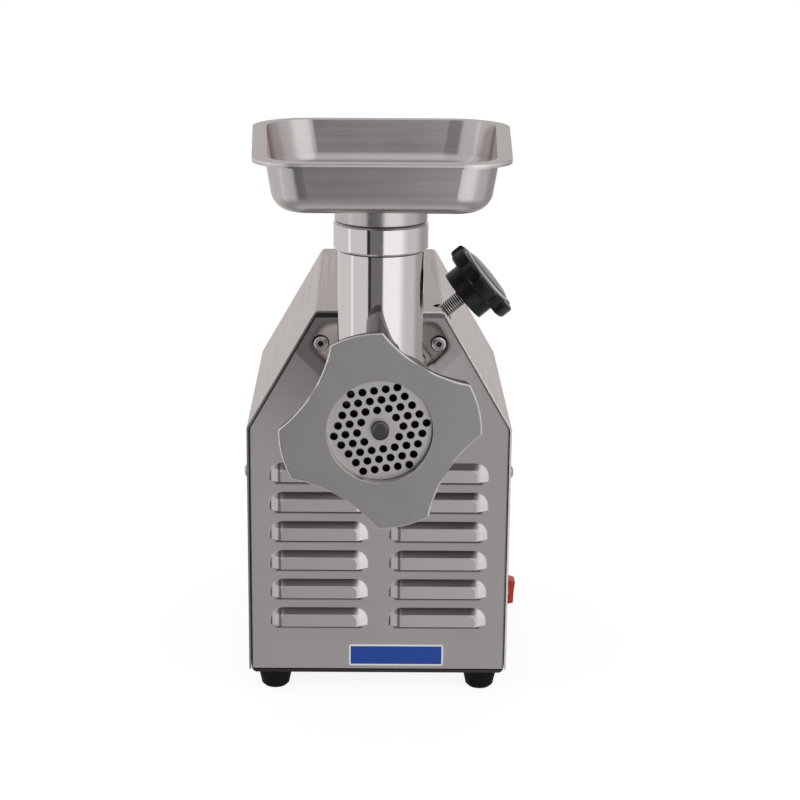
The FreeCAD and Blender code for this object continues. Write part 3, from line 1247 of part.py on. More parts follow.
clip_foot = box(
    "clip_foot", "capacitor_x - clip_foot_width / 2", clip_y, "base_top", "clip_foot_width",
    "clip_width", "clip_sheet")
part("capacitor_clip", fuse("clip", clip_ring, cut("clip_base", clip_foot, cylinder(
    "clip_relief", "capacitor_radius + press_gap", "clip_width", "capacitor_x", clip_y, capacitor_z))))

# Rocker switch on the right side
bezel = box(
    "bezel", "half_width", "switch_y - bezel_width / 2", "switch_height - bezel_height / 2",
    "bezel_thickness", "bezel_width", "bezel_height")
along_x = Vector(1, 0, 0)
bezel_round = rounded("bezel_round", bezel, "bezel_corner", lambda edge: parallel(edge, along_x))
switch_gap = "bezel_lip + panel_gap"
switch_block = box(
    "switch_block", "half_width - switch_depth", f"switch_y - bezel_width / 2 + {switch_gap}",
    f"switch_height - bezel_height / 2 + {switch_gap}", "switch_depth", f"bezel_width - 2 * ({switch_gap})",
    f"bezel_height - 2 * ({switch_gap})")
switch_window = box(
    "switch_window", "pivot_x - rocker_half", "switch_y - rocker_width / 2 - rocker_gap",
    "switch_height - window_half", "rocker_half + bezel_thickness", "rocker_width + 2 * rocker_gap",
    "2 * window_half")
pivot_hole = cylinder(
    "pivot_hole", "pivot_radius + press_gap", "bezel_width - 2 * bezel_lip", "pivot_x",
    "switch_y - bezel_width / 2 + bezel_lip", "switch_height")
part("switch_body", cut("switch", fuse("switch_blocks", bezel_round, switch_block), switch_window,
    pivot_hole))
rocker_outline = [
    ("-rocker_root", "-rocker_root_half"), ("rocker_brow", "-rocker_half"),
    ("rocker_reach", "-rocker_face_half"), ("rocker_dip", "0"), ("rocker_reach", "rocker_face_half"),
    ("rocker_brow", "rocker_half"), ("-rocker_root", "rocker_root_half"),
]
rocker_body, rocker_sketch = drawn("rocker_body", rocker_outline, "XZ_Plane")
rocker_pad = rocker_body.newObject("PartDesign::Pad", "rocker_pad")
rocker_pad.Profile = rocker_sketch
rocker_pad.Midplane = True
bind(rocker_pad, {"Length": "rocker_width"})
rocker_bore = cylinder("rocker_bore", "pivot_radius + running_gap", "2 * rocker_width", "0",
    "-rocker_width", "0")
rocker = cut("rocker", rocker_body, rocker_bore)
rocker.Placement = Placement(Vector(), Rotation(Vector(0, 1, 0), value("rocker_tilt")))
bind(rocker, {
    "Placement.Base.x": "pivot_x", "Placement.Base.y": "switch_y", "Placement.Base.z": "switch_height",
    "Placement.Rotation.Angle": "rocker_tilt",
})
part("switch_rocker", rocker)
part("rocker_pivot", cylinder(
    "pivot", "pivot_radius", "bezel_width - 2 * bezel_lip", "pivot_x",
    "switch_y - bezel_width / 2 + bezel_lip",
    "switch_height"))

# Grinder head: barrel with its thread, throat with its collar, and the neck
barrel = turned("barrel", [
    ("0", "0"), ("neck_radius - neck_chamfer", "0"), ("neck_radius", "neck_chamfer"),
    ("neck_radius", "neck_length"),
    ("barrel_radius - barrel_chamfer", "neck_length"), ("barrel_radius", "neck_length + barrel_chamfer"),
    ("barrel_radius", "neck_end - plate_face - thread_length - thread_spare - thread_ramp"),
    ("thread_radius", "neck_end - plate_face - thread_length - thread_spare"),
    ("thread_radius", "neck_end - barrel_mouth"), ("0", "neck_end - barrel_mouth"),
])
put(barrel, "0", "neck_end", "axis_height", "-Y")
throat = turned("throat", [
    ("0", "0"), ("throat_radius", "0"), ("throat_radius", "throat_height - collar_height - axis_height"),
    ("collar_radius - collar_bead", "throat_height - collar_height - axis_height"),
    ("collar_radius", "throat_height - collar_height - axis_height + collar_bead"),
    ("collar_radius", "throat_height - axis_height - collar_bead"),
    ("collar_radius - collar_bead", "throat_height - axis_height"), ("0", "throat_height - axis_height"),
])
put(throat, "0", "throat_y", "axis_height", "+Z")
head_bore = cylinder("head_bore", "bore_radius", "barrel_floor - barrel_mouth", "0", "barrel_mouth",
    "axis_height")
mouth_recess = cylinder(
    "mouth_recess", "plate_radius + plate_gap", "recess_end - barrel_mouth", "0", "barrel_mouth",
    "axis_height")
bush_bore = cylinder(
    "bush_bore", "bush_radius + press_gap", "neck_end - barrel_floor", "0", "barrel_floor", "axis_height")
throat_hole = cylinder(
    "throat_hole", "throat_bore", "throat_height - axis_height", "0", "throat_y", "axis_height", "+Z")
collar_hole = cylinder(
    "collar_hole", "throat_radius", "collar_height", "0", "throat_y",
    "throat_height - collar_height + collar_floor", "+Z")
neck_flat = box(
    "neck_flat_block", "0", "0", "0", "4 * neck_radius", "neck_end - clamp_y + 2 * clamp_boss_radius",
    "neck_radius")
flat_x = "clamp_flat * cos(clamp_angle) - 2 * neck_radius * sin(clamp_angle)"
flat_z = "axis_height + clamp_flat * sin(clamp_angle) + 2 * neck_radius * cos(clamp_angle)"
put(neck_flat, flat_x, "clamp_y - clamp_boss_radius", flat_z, "clamp")
key_z = "axis_height - plate_radius - plate_gap"
key_hole = cylinder(
    "key_hole", "key_radius + press_gap", "recess_end - barrel_mouth - key_inset", "0", "barrel_mouth",
    key_z)
part("grinder_head", cut(
    "head", fuse("head_body", barrel, throat), head_bore, mouth_recess, bush_bore, throat_hole, collar_hole,
    neck_flat,
    key_hole))
part("plate_key_pin", cylinder("key_pin", "key_radius",
    "recess_end - barrel_mouth - key_inset - key_end_gap", "0", "barrel_mouth", key_z))
part("auger_bush", tube(
    "bush", "bush_radius", "journal_radius + running_gap", "neck_end - barrel_floor", "0", "barrel_floor",
    "axis_height"))

# Grinding plate: a hexagon of holes around the auger's pin, and a notch for the key pin
doc.recompute()
plate_disc = Part.makeCylinder(value("plate_radius"), value("plate_thickness"))
holes = [Part.makeCylinder(value("pin_radius + tail_gap"), value("plate_thickness"))]
rings = int(value("plate_rings"))
for row_number in range(-rings, rings + 1):
    for column in range(-rings, rings + 1):
        ring = max(abs(row_number), abs(column), abs(row_number + column))
        if value("plate_blank_rings") < ring <= rings:
            spot = Vector(column + row_number / 2, row_number * math.sqrt(3) / 2, 0) * value("plate_pitch")
            holes.append(Part.makeCylinder(value("plate_hole_radius"), value("plate_thickness"), spot))
plate_disc = plate_disc.cut(holes)
plate_disc.rotate(Vector(), Vector(0, 0, 1), value("plate_turn"))
notch = Part.makeCylinder(
    value("key_radius + tail_gap"), value("plate_thickness"), Vector(0, -value("plate_radius + plate_gap"),
    0))
grinder_plate = shaped("perforated_plate", plate_disc.cut(notch))
grinder_plate.Placement = Placement(vector("0", "plate_rear", "axis_height"), DIRECTIONS["-Y"])
part("grinder_plate", grinder_plate)

# Cross knife on the auger's square
knife_hub = cylinder("knife_hub", "knife_hub_radius", "knife_thickness", "0", "knife_face", "axis_height")
knife_bars = [
    box("knife_level", "-knife_radius", "knife_face", "axis_height - knife_blade / 2", "2 * knife_radius",
        "knife_thickness", "knife_blade"),
    box("knife_upright", "-knife_blade / 2", "knife_face", "axis_height - knife_radius", "knife_blade",
        "knife_thickness", "2 * knife_radius"),
]
knife_room = "auger_square / 2 + running_gap"
knife_square = box(
    "knife_square", f"-({knife_room})", "knife_face", f"axis_height - ({knife_room})",
    f"2 * ({knife_room})",
    "knife_thickness", f"2 * ({knife_room})")
part("cross_knife", cut("knife", fuse("knife_body", knife_hub, *knife_bars), knife_square))

# Auger: core, flight, knife square, front pin, rear journal and square tail
core = cylinder("auger_core", "auger_shaft_radius", "washer_face - knife_rear", "0", "knife_rear",
    "axis_height")
front_square = box(
    "front_square", "-auger_square / 2", "knife_face + running_gap", "axis_height - auger_square / 2",
    "auger_square",
    "knife_thickness + 2 * overlap", "auger_square")
front_pin = turned("front_pin", [
    ("0", "0"), ("pin_radius", "0"), ("pin_radius", "knife_rear - plate_face + pin_reach - pin_chamfer"),
    ("pin_radius - pin_chamfer", "knife_rear - plate_face + pin_reach"),
    ("0", "knife_rear - plate_face + pin_reach"),
])
put(front_pin, "0", "knife_rear", "axis_height", "-Y")
journal = cylinder("journal", "journal_radius", "neck_end - washer_face", "0", "washer_face", "axis_height")
tail = box(
    "tail", "-tail_square / 2", "neck_end - 2 * overlap", "axis_height - tail_square / 2", "tail_square",
    "tail_length + neck_end_gap", "tail_square")
flight_room = "washer_face - knife_rear - flight_thickness - 2 * flight_end_gap"
flight_path = doc.addObject("Part::Helix", "flight_path")
bind(flight_path, {"Pitch": "flight_pitch", "Height": flight_room,
    "Radius": "bore_radius / 2 + auger_shaft_radius / 2"})
flight_section = doc.addObject("Part::Plane", "flight_section")
bind(flight_section, {
    "Length": "bore_radius - flight_gap - auger_shaft_radius + 2 * overlap", "Width": "flight_thickness",
    "Placement.Base.x": "auger_shaft_radius - 2 * overlap", "Placement.Base.z": "-flight_thickness / 2",
})
flight_section.Placement = Placement(flight_section.Placement.Base, Rotation(Vector(1, 0, 0), 90))
doc.recompute()
flight = doc.addObject("Part::Sweep", "flight")
flight.Sections = [flight_section]
flight.Spine = (flight_path, ["Edge1"])
flight.Solid = True
flight.Frenet = True
put(flight, "0", "knife_rear + flight_thickness / 2 + flight_end_gap", "axis_height", "+Y")
part("auger", fuse("auger_fuse", core, front_square, front_pin, journal, tail, flight))
part("thrust_washer", tube(
    "washer", "washer_radius", "journal_radius + running_gap", "washer_thickness - 2 * washer_gap", "0",
    "washer_face + washer_gap",
    "axis_height"))

# Ring nut with four lobes
nut_disc = cylinder("nut_disc", "nut_lobe_radius", "nut_lobe_thickness", "0", "nut_face", "axis_height")
scallop_distance = "nut_waist_radius + nut_scallop_radius"
scallops = [
    cylinder(f"scallop_{i}", "nut_scallop_radius", "nut_lobe_thickness + 2 * overcut",
    f"({scallop_distance}) * cos(nut_turn + {angle})",
             "nut_face - overcut", f"axis_height + ({scallop_distance}) * sin(nut_turn + {angle})")
    for i, angle in enumerate((45, 135, 225, 315))
]
nut_star = rounded(
    "nut_star", cut("nut_lobes", nut_disc, *scallops), "nut_edge",
    lambda edge: edge.BoundBox.YLength < TOUCH or parallel(edge, along_y))
nut_sleeve = cylinder("nut_sleeve", "nut_waist_radius - nut_sleeve_step", "nut_lip + thread_length", "0",
    "nut_face", "axis_height")
nut_thread = cylinder("nut_thread", "thread_radius + thread_gap", "thread_length + 2 * overcut", "0",
    "plate_face", "axis_height")
nut_opening = cylinder("nut_opening", "nut_opening_radius", "nut_lip + 2 * overcut", "0",
    "nut_face - overcut", "axis_height")
nut_bored = cut("nut_bored", fuse("nut_body", nut_star, nut_sleeve), nut_thread, nut_opening)


def rings_the_opening(edge):
    """Whether an edge is the front rim of the nut's opening."""
    box = edge.BoundBox
    at_face = abs(box.YMin - value("nut_face")) < TOUCH and box.YLength < TOUCH
    return at_face and abs(box.XLength - 2 * value("nut_opening_radius")) < TOUCH


part("ring_nut", rounded("nut", nut_bored, "nut_opening_edge", rings_the_opening))


# Feed pan: tapered tray, wider at the back, with a flat hemmed rim, a neck and a spigot
def pan_outline(inset):
    """The four corners of the rim's outline, made smaller by a distance on every side."""
    side = f"({inset}) * sqrt(1 + pan_splay^2)"
    front_half = f"pan_front_width / 2 + ({inset}) * pan_splay - {side}"
    back_half = f"pan_back_width / 2 - ({inset}) * pan_splay - {side}"
    reach = f"pan_depth / 2 - ({inset})"
    return [
        (f"-({front_half})", f"-({reach})"), (front_half, f"-({reach})"),
        (back_half, reach), (f"-({back_half})", reach),
    ]


def pan_block(name, inset, z, height, taper="0"):
    """A block with the rim's outline and round corners, whose walls may lean outwards towards the top."""
    body, sketch = drawn(name, pan_outline(f"{inset} + {taper}"), "XY_Plane")
    pad = body.newObject("PartDesign::Pad", f"{name}_pad")
    pad.Profile = sketch
    bind(pad, {"Length": height, "TaperAngle": f"atan(({taper}) / ({height}))"})
    put(body, "0", "pan_y", z)

    def upright(edge, side):
        """Whether an edge is an upright one of the front (-1) or the back (1)."""
        return edge.BoundBox.ZLength > value(height) / 2 and side * (edge.CenterOfMass.y - value("pan_y")) > 0

    front = rounded(f"{name}_front", body, f"pan_front_corner - ({inset})", lambda edge: upright(edge, -1))
    return rounded(f"{name}_back", front, f"pan_back_corner - ({inset})", lambda edge: upright(edge, 1))


def tray_solid(name, shrink, floor):
    """The tray's outside with a round lower edge, made smaller by a distance on every side."""
    walls = pan_block(f"{name}_walls", f"pan_flange + {shrink}", floor, "pan_height", "pan_taper")
    return rounded(
        name, walls, f"pan_floor_round - ({shrink})", lambda edge: edge.BoundBox.ZMax < value(floor) + TOUCH)


pan_outside = tray_solid("pan_outside", "0", "pan_floor")
pan_inside = tray_solid("pan_inside", "pan_sheet", "pan_floor + pan_sheet")
rim_top = pan_block("rim_top", "0", "pan_rim - pan_hem", "pan_hem")
rim_under = pan_block(
    "rim_under", "pan_sheet", "pan_rim - pan_hem - overcut", "pan_hem + overcut - pan_sheet")
rim = cut("rim", rim_top, rim_under)
spigot_radius = "throat_radius - spigot_gap"
pan_neck = turned("pan_neck_tube", [
    (f"{spigot_radius} - pan_sheet", "-spigot_depth"), (spigot_radius, "-spigot_depth"),
    (spigot_radius, "0"),
    ("collar_radius - collar_bead", "0"), ("collar_radius - collar_bead / 2", "collar_bead"),
    ("collar_radius - collar_bead / 2", "pan_neck + pan_sheet / 2"),
    (f"{spigot_radius} - pan_sheet", "pan_neck + pan_sheet / 2"),
])
put(pan_neck, "0", "throat_y", "throat_height", "+Z")
pan_mouth = cylinder(
    "pan_mouth", f"{spigot_radius} - pan_sheet", "pan_height", "0", "throat_y", "pan_floor - overcut", "+Z")
pan_shell = fuse("pan_shell", cut("pan_tray", pan_outside, pan_mouth), rim, pan_neck)
part("feed_pan", cut("pan", pan_shell, pan_inside))

# Clamp screw with its star knob
stud = cylinder("stud", "clamp_stud_radius", "knob_face - knob_edge - clamp_tip", "0", "0", "0", "clamp")
part("clamp_stud", put_on_clamp(stud, "clamp_tip"))
knob_hub = cylinder("knob_hub", "knob_hub_radius", "knob_hub_length + overlap", "0", "0", "0", "+Z")
knob_disc = cylinder("knob_disc", "knob_radius", "knob_thickness", "0", "0", "knob_hub_length", "+Z")
knob_hollows = [
    cylinder(f"knob_hollow_{i}", "knob_scallop", "knob_thickness + 2 * overcut",
             f"(knob_radius + knob_scallop - knob_scallop_depth) * cos({360 * i} / knob_lobes)",
             f"(knob_radius + knob_scallop - knob_scallop_depth) * sin({360 * i} / knob_lobes)",
             "knob_hub_length - overcut", "+Z")
    for i in range(int(value("knob_lobes")))
]
knob_star = rounded(
    "knob_star", cut("knob_lobes_cut", knob_disc, *knob_hollows), "knob_edge",
    lambda edge: edge.BoundBox.ZLength < TOUCH)
knob_bore = cylinder(
    "knob_bore", "clamp_stud_radius + press_gap", "knob_face - knob_edge - knob_reach", "0", "0", "0", "+Z")
part("clamp_knob", put_on_clamp(cut("knob", fuse("knob_body", knob_hub, knob_star), knob_bore),
    "knob_reach"))
knob_cap = turned("knob_cap_body", [
    ("0", "0"), ("knob_cap_radius", "0"), ("knob_cap_radius", "knob_cap_edge"),
    ("knob_cap_slope_radius", "knob_cap_slope_height"), ("knob_cap_crown", "knob_cap_height"),
    ("0", "knob_cap_height"),
])
part("knob_cap", put_on_clamp(knob_cap, "knob_face"))

doc.recompute()
faults = [item.Label for item in doc.Objects if "Invalid" in item.State or "Error" in item.State]
faults += [item.Label for item in PARTS if item.Shape.isNull() or not item.Shape.isValid()]
if faults:
    raise RuntimeError(f"these objects failed: {faults}")
os.makedirs("parts", exist_ok=True)
for item in PARTS:
    item.Shape.exportStep(f"parts/{item.Label}.step")
    print(f"{item.Label}: {len(item.Shape.Solids)} solids, {item.Shape.Volume / 1000:.2f} cm3")
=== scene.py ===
# %% [markdown]
# # An electric meat grinder, dressed in Blender
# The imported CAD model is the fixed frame: every solid already sits in its place, in metres, with +Z up
# and the cutting head facing -Y. This lesson adds what a CAD model leaves out: the finish of each metal,
# the screw thread, the draft of a casting, a floor, light and a camera.

# %% Load the frame
import math

import bmesh
import bpy
from mathutils import Matrix, Vector


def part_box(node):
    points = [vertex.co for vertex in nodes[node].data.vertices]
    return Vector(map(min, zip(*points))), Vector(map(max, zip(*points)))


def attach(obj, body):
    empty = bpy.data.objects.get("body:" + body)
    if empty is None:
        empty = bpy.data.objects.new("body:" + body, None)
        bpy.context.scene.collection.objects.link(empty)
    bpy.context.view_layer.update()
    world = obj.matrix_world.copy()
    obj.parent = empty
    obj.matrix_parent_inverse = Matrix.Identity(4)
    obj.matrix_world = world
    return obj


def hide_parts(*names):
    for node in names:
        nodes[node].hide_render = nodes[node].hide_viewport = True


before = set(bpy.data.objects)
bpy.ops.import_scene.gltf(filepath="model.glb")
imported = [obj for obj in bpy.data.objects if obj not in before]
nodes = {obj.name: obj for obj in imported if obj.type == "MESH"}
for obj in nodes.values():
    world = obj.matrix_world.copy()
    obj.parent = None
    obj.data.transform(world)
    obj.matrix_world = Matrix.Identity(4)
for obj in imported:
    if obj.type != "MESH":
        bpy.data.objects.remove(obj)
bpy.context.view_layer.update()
MM = 0.001

# %% [markdown]
# ## Writing node trees as Python
# A finish is a node tree, and a tree drawn link by link is hard to read. Here one small class wraps an
# output socket, so `1 - mask` or `grain * 0.1` adds the Math node that does it, and one method makes any
# other node. The same two work for shader trees and for Geometry Nodes trees.


# %% Node helpers
class Wire:
    """An output socket of a node tree: sums and products of wires add Math nodes."""

    def __init__(self, graph, socket):
        self.graph = graph
        self.socket = socket

    def maths(self, operation, *values):
        return self.graph.node("ShaderNodeMath", {"operation": operation}, dict(enumerate(values)))

    def __add__(self, other):
        return self.maths("ADD", self, other)

    def __radd__(self, other):
        return self.maths("ADD", other, self)

    def __sub__(self, other):
        return self.maths("SUBTRACT", self, other)

    def __rsub__(self, other):
        return self.maths("SUBTRACT", other, self)

    def __mul__(self, other):
        return self.maths("MULTIPLY", self, other)

    def __rmul__(self, other):
        return self.maths("MULTIPLY", other, self)

    def __truediv__(self, other):
        return self.maths("DIVIDE", self, other)

    def __pow__(self, other):
        return self.maths("POWER", self, other)

    def __abs__(self):
        return self.maths("ABSOLUTE", self)

    def __gt__(self, other):
        return self.maths("GREATER_THAN", self, other)

    def __lt__(self, other):
        return self.maths("LESS_THAN", self, other)


class Graph:
    """A node tree that is filled one node at a time."""

    def __init__(self, tree):
        self.tree = tree

    def node(self, kind, settings=None, sockets=None, output=0):
        """Add a node: its settings come first, then the values or wires of its sockets."""
        made = self.tree.nodes.new(kind)
        for name, setting in (settings or {}).items():
            setattr(made, name, setting)
        for name, content in (sockets or {}).items():
            self.feed(made.inputs[name], content)
        return Wire(self, made.outputs[output])

    def feed(self, socket, content):
        """Link a wire to a socket, or set the socket's value."""
        if isinstance(content, Wire):
            self.tree.links.new(content.socket, socket)
        else:
            socket.default_value = content

    def split(self, vector):
        """The X, Y and Z of a vector, as three wires."""
        splitter = self.node("ShaderNodeSeparateXYZ", None, {"Vector": vector}).socket.node
        return [Wire(self, output) for output in splitter.outputs]

    def step(self, wire, start, end):
        """0 before the start, 1 after the end, and smooth between. The start may lie after the end."""
        rising = start < end
        return self.node("ShaderNodeMapRange", {"interpolation_type": "SMOOTHSTEP"}, {
            "Value": wire, "From Min": min(start, end), "From Max": max(start, end),
            "To Min": 0.0 if rising else 1.0, "To Max": 1.0 if rising else 0.0})


def distance(first, second):
    """The length of the long side of a right-angled triangle."""
    return (first ** 2 + second ** 2) ** 0.5


print("node helpers ready")

# %% [markdown]
# ## A finish and its grain
# Every finish below starts the same way: a Principled shader, and Object coordinates, which are metres
# here because no piece is moved or scaled. A fine grain and broad clouds, both noise, nudge the colour
# and the roughness, and the grain also nudges the surface itself. Marks then lie over the grain: painted
# shade in a gap, a painted highlight on an edge, a scuff. Seen at a grazing angle, every surface reflects
# a faintly warm white.


# %% Finish class
EDGE_TINT = (1.0, 0.95, 0.94, 1)
# The Mix node's colour sockets share their names with others, so they are picked by number.
MIX_FIRST = 6
MIX_SECOND = 7
MIX_RESULT = 2


class Finish(Graph):
    """A material whose tree is at hand, with the patterns that the finishes share."""

    def __init__(self, name, **constants):
        self.material = bpy.data.materials.new(name)
        self.material.use_nodes = True
        super().__init__(self.material.node_tree)
        self.shader = self.tree.nodes["Principled BSDF"]
        self.shader.inputs["Specular Tint"].default_value = EDGE_TINT
        self.place = self.node("ShaderNodeTexCoord", output="Object")
        for socket, number in constants.items():
            self.shader.inputs[socket.replace("_", " ").title()].default_value = number

    def noise(self, scale, detail=2.0, roughness=0.5, stretch=(1, 1, 1), place=None):
        """Noise between 0 and 1, `scale` bumps to the metre, pulled along the axes with a small stretch."""
        spot = self.node("ShaderNodeMapping", None, {"Vector": place or self.place, "Scale": stretch})
        return self.node("ShaderNodeTexNoise", None, {
            "Vector": spot, "Scale": scale, "Detail": detail, "Roughness": roughness})

    def axes(self):
        """The X, Y and Z of each point, in metres."""
        return self.split(self.place)

    def ringed(self, centre, grain):
        """The distance from an axis along Y through (x, z), and noise in rings round that axis."""
        x, y, z = self.axes()
        radius = distance(x - centre[0], z - centre[1])
        around = self.node("ShaderNodeCombineXYZ", None, {"X": radius, "Y": y})
        return radius, self.noise(grain, 2.0, 0.6, place=around)

    def band(self, wire, start, end, soft=0.1 * MM):
        """1 between the start and the end, 0 outside, with soft edges."""
        return self.step(wire, start - soft, start) * self.step(wire, end + soft, end)

    def mixed(self, factor, first, second):
        """One colour where the factor is 0 and another where it is 1."""
        first = first if isinstance(first, Wire) else (*first, 1)
        second = second if isinstance(second, Wire) else (*second, 1)
        return self.node("ShaderNodeMix", {"data_type": "RGBA"}, {
            "Factor": factor, MIX_FIRST: first, MIX_SECOND: second}, output=MIX_RESULT)

    def shade(self, colour, factor, spread):
        """A colour made darker and lighter by a factor between 0 and 1, by `spread` in all."""
        dark = [channel * (1 - spread / 2) for channel in colour]
        light = [min(channel * (1 + spread / 2), 1) for channel in colour]
        return self.mixed(factor, dark, light)

    def marked(self, colour, roughness, marks):
        """A colour and a roughness with marks over them: where, how strong, which colour and how rough."""
        for where, strength, mark, rough in marks:
            factor = where * strength
            colour = self.mixed(factor, colour, mark)
            roughness = roughness + (rough - roughness) * factor
        return colour, roughness

    def wear(self, colour, roughness, height, depth):
        """Connect the colour, the roughness and a bump of `depth` metres to the shader."""
        self.feed(self.shader.inputs["Base Color"], colour)
        self.feed(self.shader.inputs["Roughness"], roughness)
        bump = self.node("ShaderNodeBump", None, {"Height": height, "Strength": 1.0, "Distance": depth})
        self.feed(self.shader.inputs["Normal"], bump)
        return self.material

    def grained(self, colour, roughness, spread, grain, clouds, share, play, marks, depth):
        """Wear a grain and clouds: `share` weighs the grain in the colour, `play` moves the roughness."""
        tone = self.shade(colour, grain * share + clouds * (1 - share), spread)
        rough = grain * play[0] + clouds * play[1] + (roughness - sum(play) / 2)
        return self.wear(*self.marked(tone, rough, marks(self)), grain, depth)


print("finish class ready")

# %% [markdown]
# ## Five ways to make a surface
# Sheet is brushed, and brushing is noise stretched along the stroke: fine across it and long with it.
# Turned metal has its marks in rings. Cast metal has a sandy skin, and moulded plastic a finer one. A
# stack of thin layers shows a line at each joint.


# %% Surface makers
STROKE_STRETCH = 0.008
STROKE_GRAIN = 700.0
STROKE_DEPTH = 0.002 * MM
WIPE_WIDTH = 12


def unmarked(finish):
    """No marks beyond the grain."""
    return []


def brushed(name, colour, roughness, stroke, marks=unmarked, spread=0.10):
    """Steel sheet brushed along an axis: fine strokes, broader wipe marks, and faint smudges."""
    finish = Finish(name, metallic=1.0)
    stretch = [STROKE_STRETCH if axis == stroke else 1.0 for axis in "XYZ"]
    fine = finish.noise(STROKE_GRAIN, 3.0, 0.6, stretch)
    wipes = finish.noise(STROKE_GRAIN / WIPE_WIDTH, 2.0, 0.5, stretch)
    smudge = finish.noise(9.0, 3.0, 0.6)
    streak = fine * 0.5 + wipes * 0.5
    return finish.grained(colour, roughness, spread, streak, smudge, 0.7, (0.1, 0.1), marks, STROKE_DEPTH)


def turned(name, colour, roughness, centre, marks=unmarked, spread=0.14, grain=1400.0, depth=0.015 * MM):
    """Metal turned or ground about an axis along Y, with its marks in rings round the centre (x, z)."""
    finish = Finish(name, metallic=1.0)
    rings = finish.ringed(centre, grain)[1]
    smudge = finish.noise(30.0, 3.0, 0.55)
    return finish.grained(colour, roughness, spread, rings, smudge, 0.7, (0.14, 0.1), marks, depth)


def cast(name, colour, roughness, marks=unmarked, spread=0.18, grain=700.0, depth=0.04 * MM):
    """Cast metal with a fine sandy skin and faint clouds."""
    finish = Finish(name, metallic=1.0)
    sand = finish.noise(grain, 4.0, 0.65)
    clouds = finish.noise(25.0, 3.0, 0.55)
    return finish.grained(colour, roughness, spread, sand, clouds, 0.5, (0.12, 0.1), marks, depth)


def moulded(
        name, colour, roughness, coat=0.0, gloss=0.5, marks=unmarked, spread=0.25, grain=1600.0,
        depth=0.01 * MM):
    """Moulded plastic or rubber with a fine skin."""
    finish = Finish(name, metallic=0.0, coat_weight=coat)
    finish.shader.inputs["Specular IOR Level"].default_value = gloss
    skin = finish.noise(grain, 2.0, 0.5)
    clouds = finish.noise(40.0, 2.0, 0.5)
    return finish.grained(colour, roughness, spread, skin, clouds, 0.4, (0.1, 0.08), marks, depth)


def layered(name, first, second, pitch, roughness, metallic):
    """Thin layers stacked along Y, with a dark line at each joint."""
    finish = Finish(name, metallic=metallic)
    y = finish.axes()[1]
    saw = (y / pitch).maths("FRACT", y / pitch)
    joint = abs(saw - 0.5) * 2
    grain = finish.noise(600.0, 2.0, 0.5)
    return finish.wear(
        finish.mixed(joint, finish.shade(second, grain, 0.2), finish.shade(first, grain, 0.2)),
        grain * 0.1 + (roughness - 0.05), joint, 0.06 * MM)


print("surface makers ready")

# %% [markdown]
# ## Places on the housing
# Painted shade and painted highlights follow the shape, so the marks need some of its sizes. The barrel's
# axis and the edges of sheets come from boxes in the frame. The others are the construction's own sizes,
# measured from the barrel's axis.

# %% Housing places
plate_low, plate_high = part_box("grinder_plate")
BARREL_AXIS = (0.0, (plate_low.z + plate_high.z) / 2)
HALF_WIDTH = 86 * MM
ROOF_HALF = 41 * MM
SHOULDER_DROP = 28 * MM
ROOF_RISE = 50 * MM
SHOULDER = BARREL_AXIS[1] - SHOULDER_DROP
ROOF = BARREL_AXIS[1] + ROOF_RISE
LEAN = math.atan((HALF_WIDTH - ROOF_HALF) / (SHOULDER_DROP + ROOF_RISE))
BOLT_SPREAD = 37.8 * MM
BOLT_RISE = 28 * MM
COVER_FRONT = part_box("housing_cover")[0].y
COVER_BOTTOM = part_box("housing_cover")[0].z
LOUVRE_REACH = 4.5 * MM
PANEL_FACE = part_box("front_panel")[0].y + LOUVRE_REACH
THROAT_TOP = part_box("grinder_head")[1].z
# The colours of painted shade and painted highlights, which most marks below lay on.
SHADE_PAINT = (0.02, 0.018, 0.018)
HIGHLIGHT_PAINT = (0.92, 0.9, 0.89)
print(f"barrel axis {BARREL_AXIS[1] / MM:.1f} mm up, roof {ROOF / MM:.1f} mm up")

# %% [markdown]
# ## Cover
# The cover is one folded sheet of stainless steel with a satin face, brushed along the machine. Hands and
# tools leave patches of light and dark scuffs along the strokes. In the photograph the sheet's cut front
# edge shines on the right and is dull on the left, so it gets a painted highlight on the right and painted
# shade on the left.

# %% Cover finish
LIGHT_SCUFF = (0.86, 0.82, 0.81)
DARK_SCUFF = (0.26, 0.238, 0.232)
EDGE_PAINTED_SHADE = (0.4, 0.38, 0.375)
EDGE_PAINTED_HIGHLIGHT = (1.0, 0.98, 0.97)
EDGE_SWAP = 5 * MM


def cover_marks(finish):
    """Light and dark scuffs in handled patches, and painted shade and highlight on the cut front edge."""
    x, y, z = finish.axes()
    light_scuffs = finish.noise(420.0, 2.0, 0.5, (1.0, 0.012, 1.0))
    dark_scuffs = finish.noise(560.0, 2.0, 0.5, (1.0, 0.008, 1.0))
    handled = finish.step(finish.noise(16.0, 2.0, 0.5), 0.4, 0.56)
    cut_edge = finish.step(y, COVER_FRONT + 0.25 * MM, COVER_FRONT + 0.1 * MM)
    return [
        (handled * finish.step(light_scuffs, 0.5, 0.64), 0.3, LIGHT_SCUFF, 0.3),
        (handled * finish.step(dark_scuffs, 0.52, 0.62), 0.26, DARK_SCUFF, 0.3),
        # Painted shade on the left half of the cut front edge, a painted highlight on the right half.
        (cut_edge * finish.step(x, EDGE_SWAP, -EDGE_SWAP), 1.0, EDGE_PAINTED_SHADE, 0.4),
        (cut_edge * finish.step(x, -EDGE_SWAP, EDGE_SWAP), 1.0, EDGE_PAINTED_HIGHLIGHT, 1.0),
    ]


cover_steel = brushed("cover_steel", (0.57, 0.53, 0.52), 0.24, "Y", cover_marks, spread=0.2)
print("cover finish:", cover_steel.name)
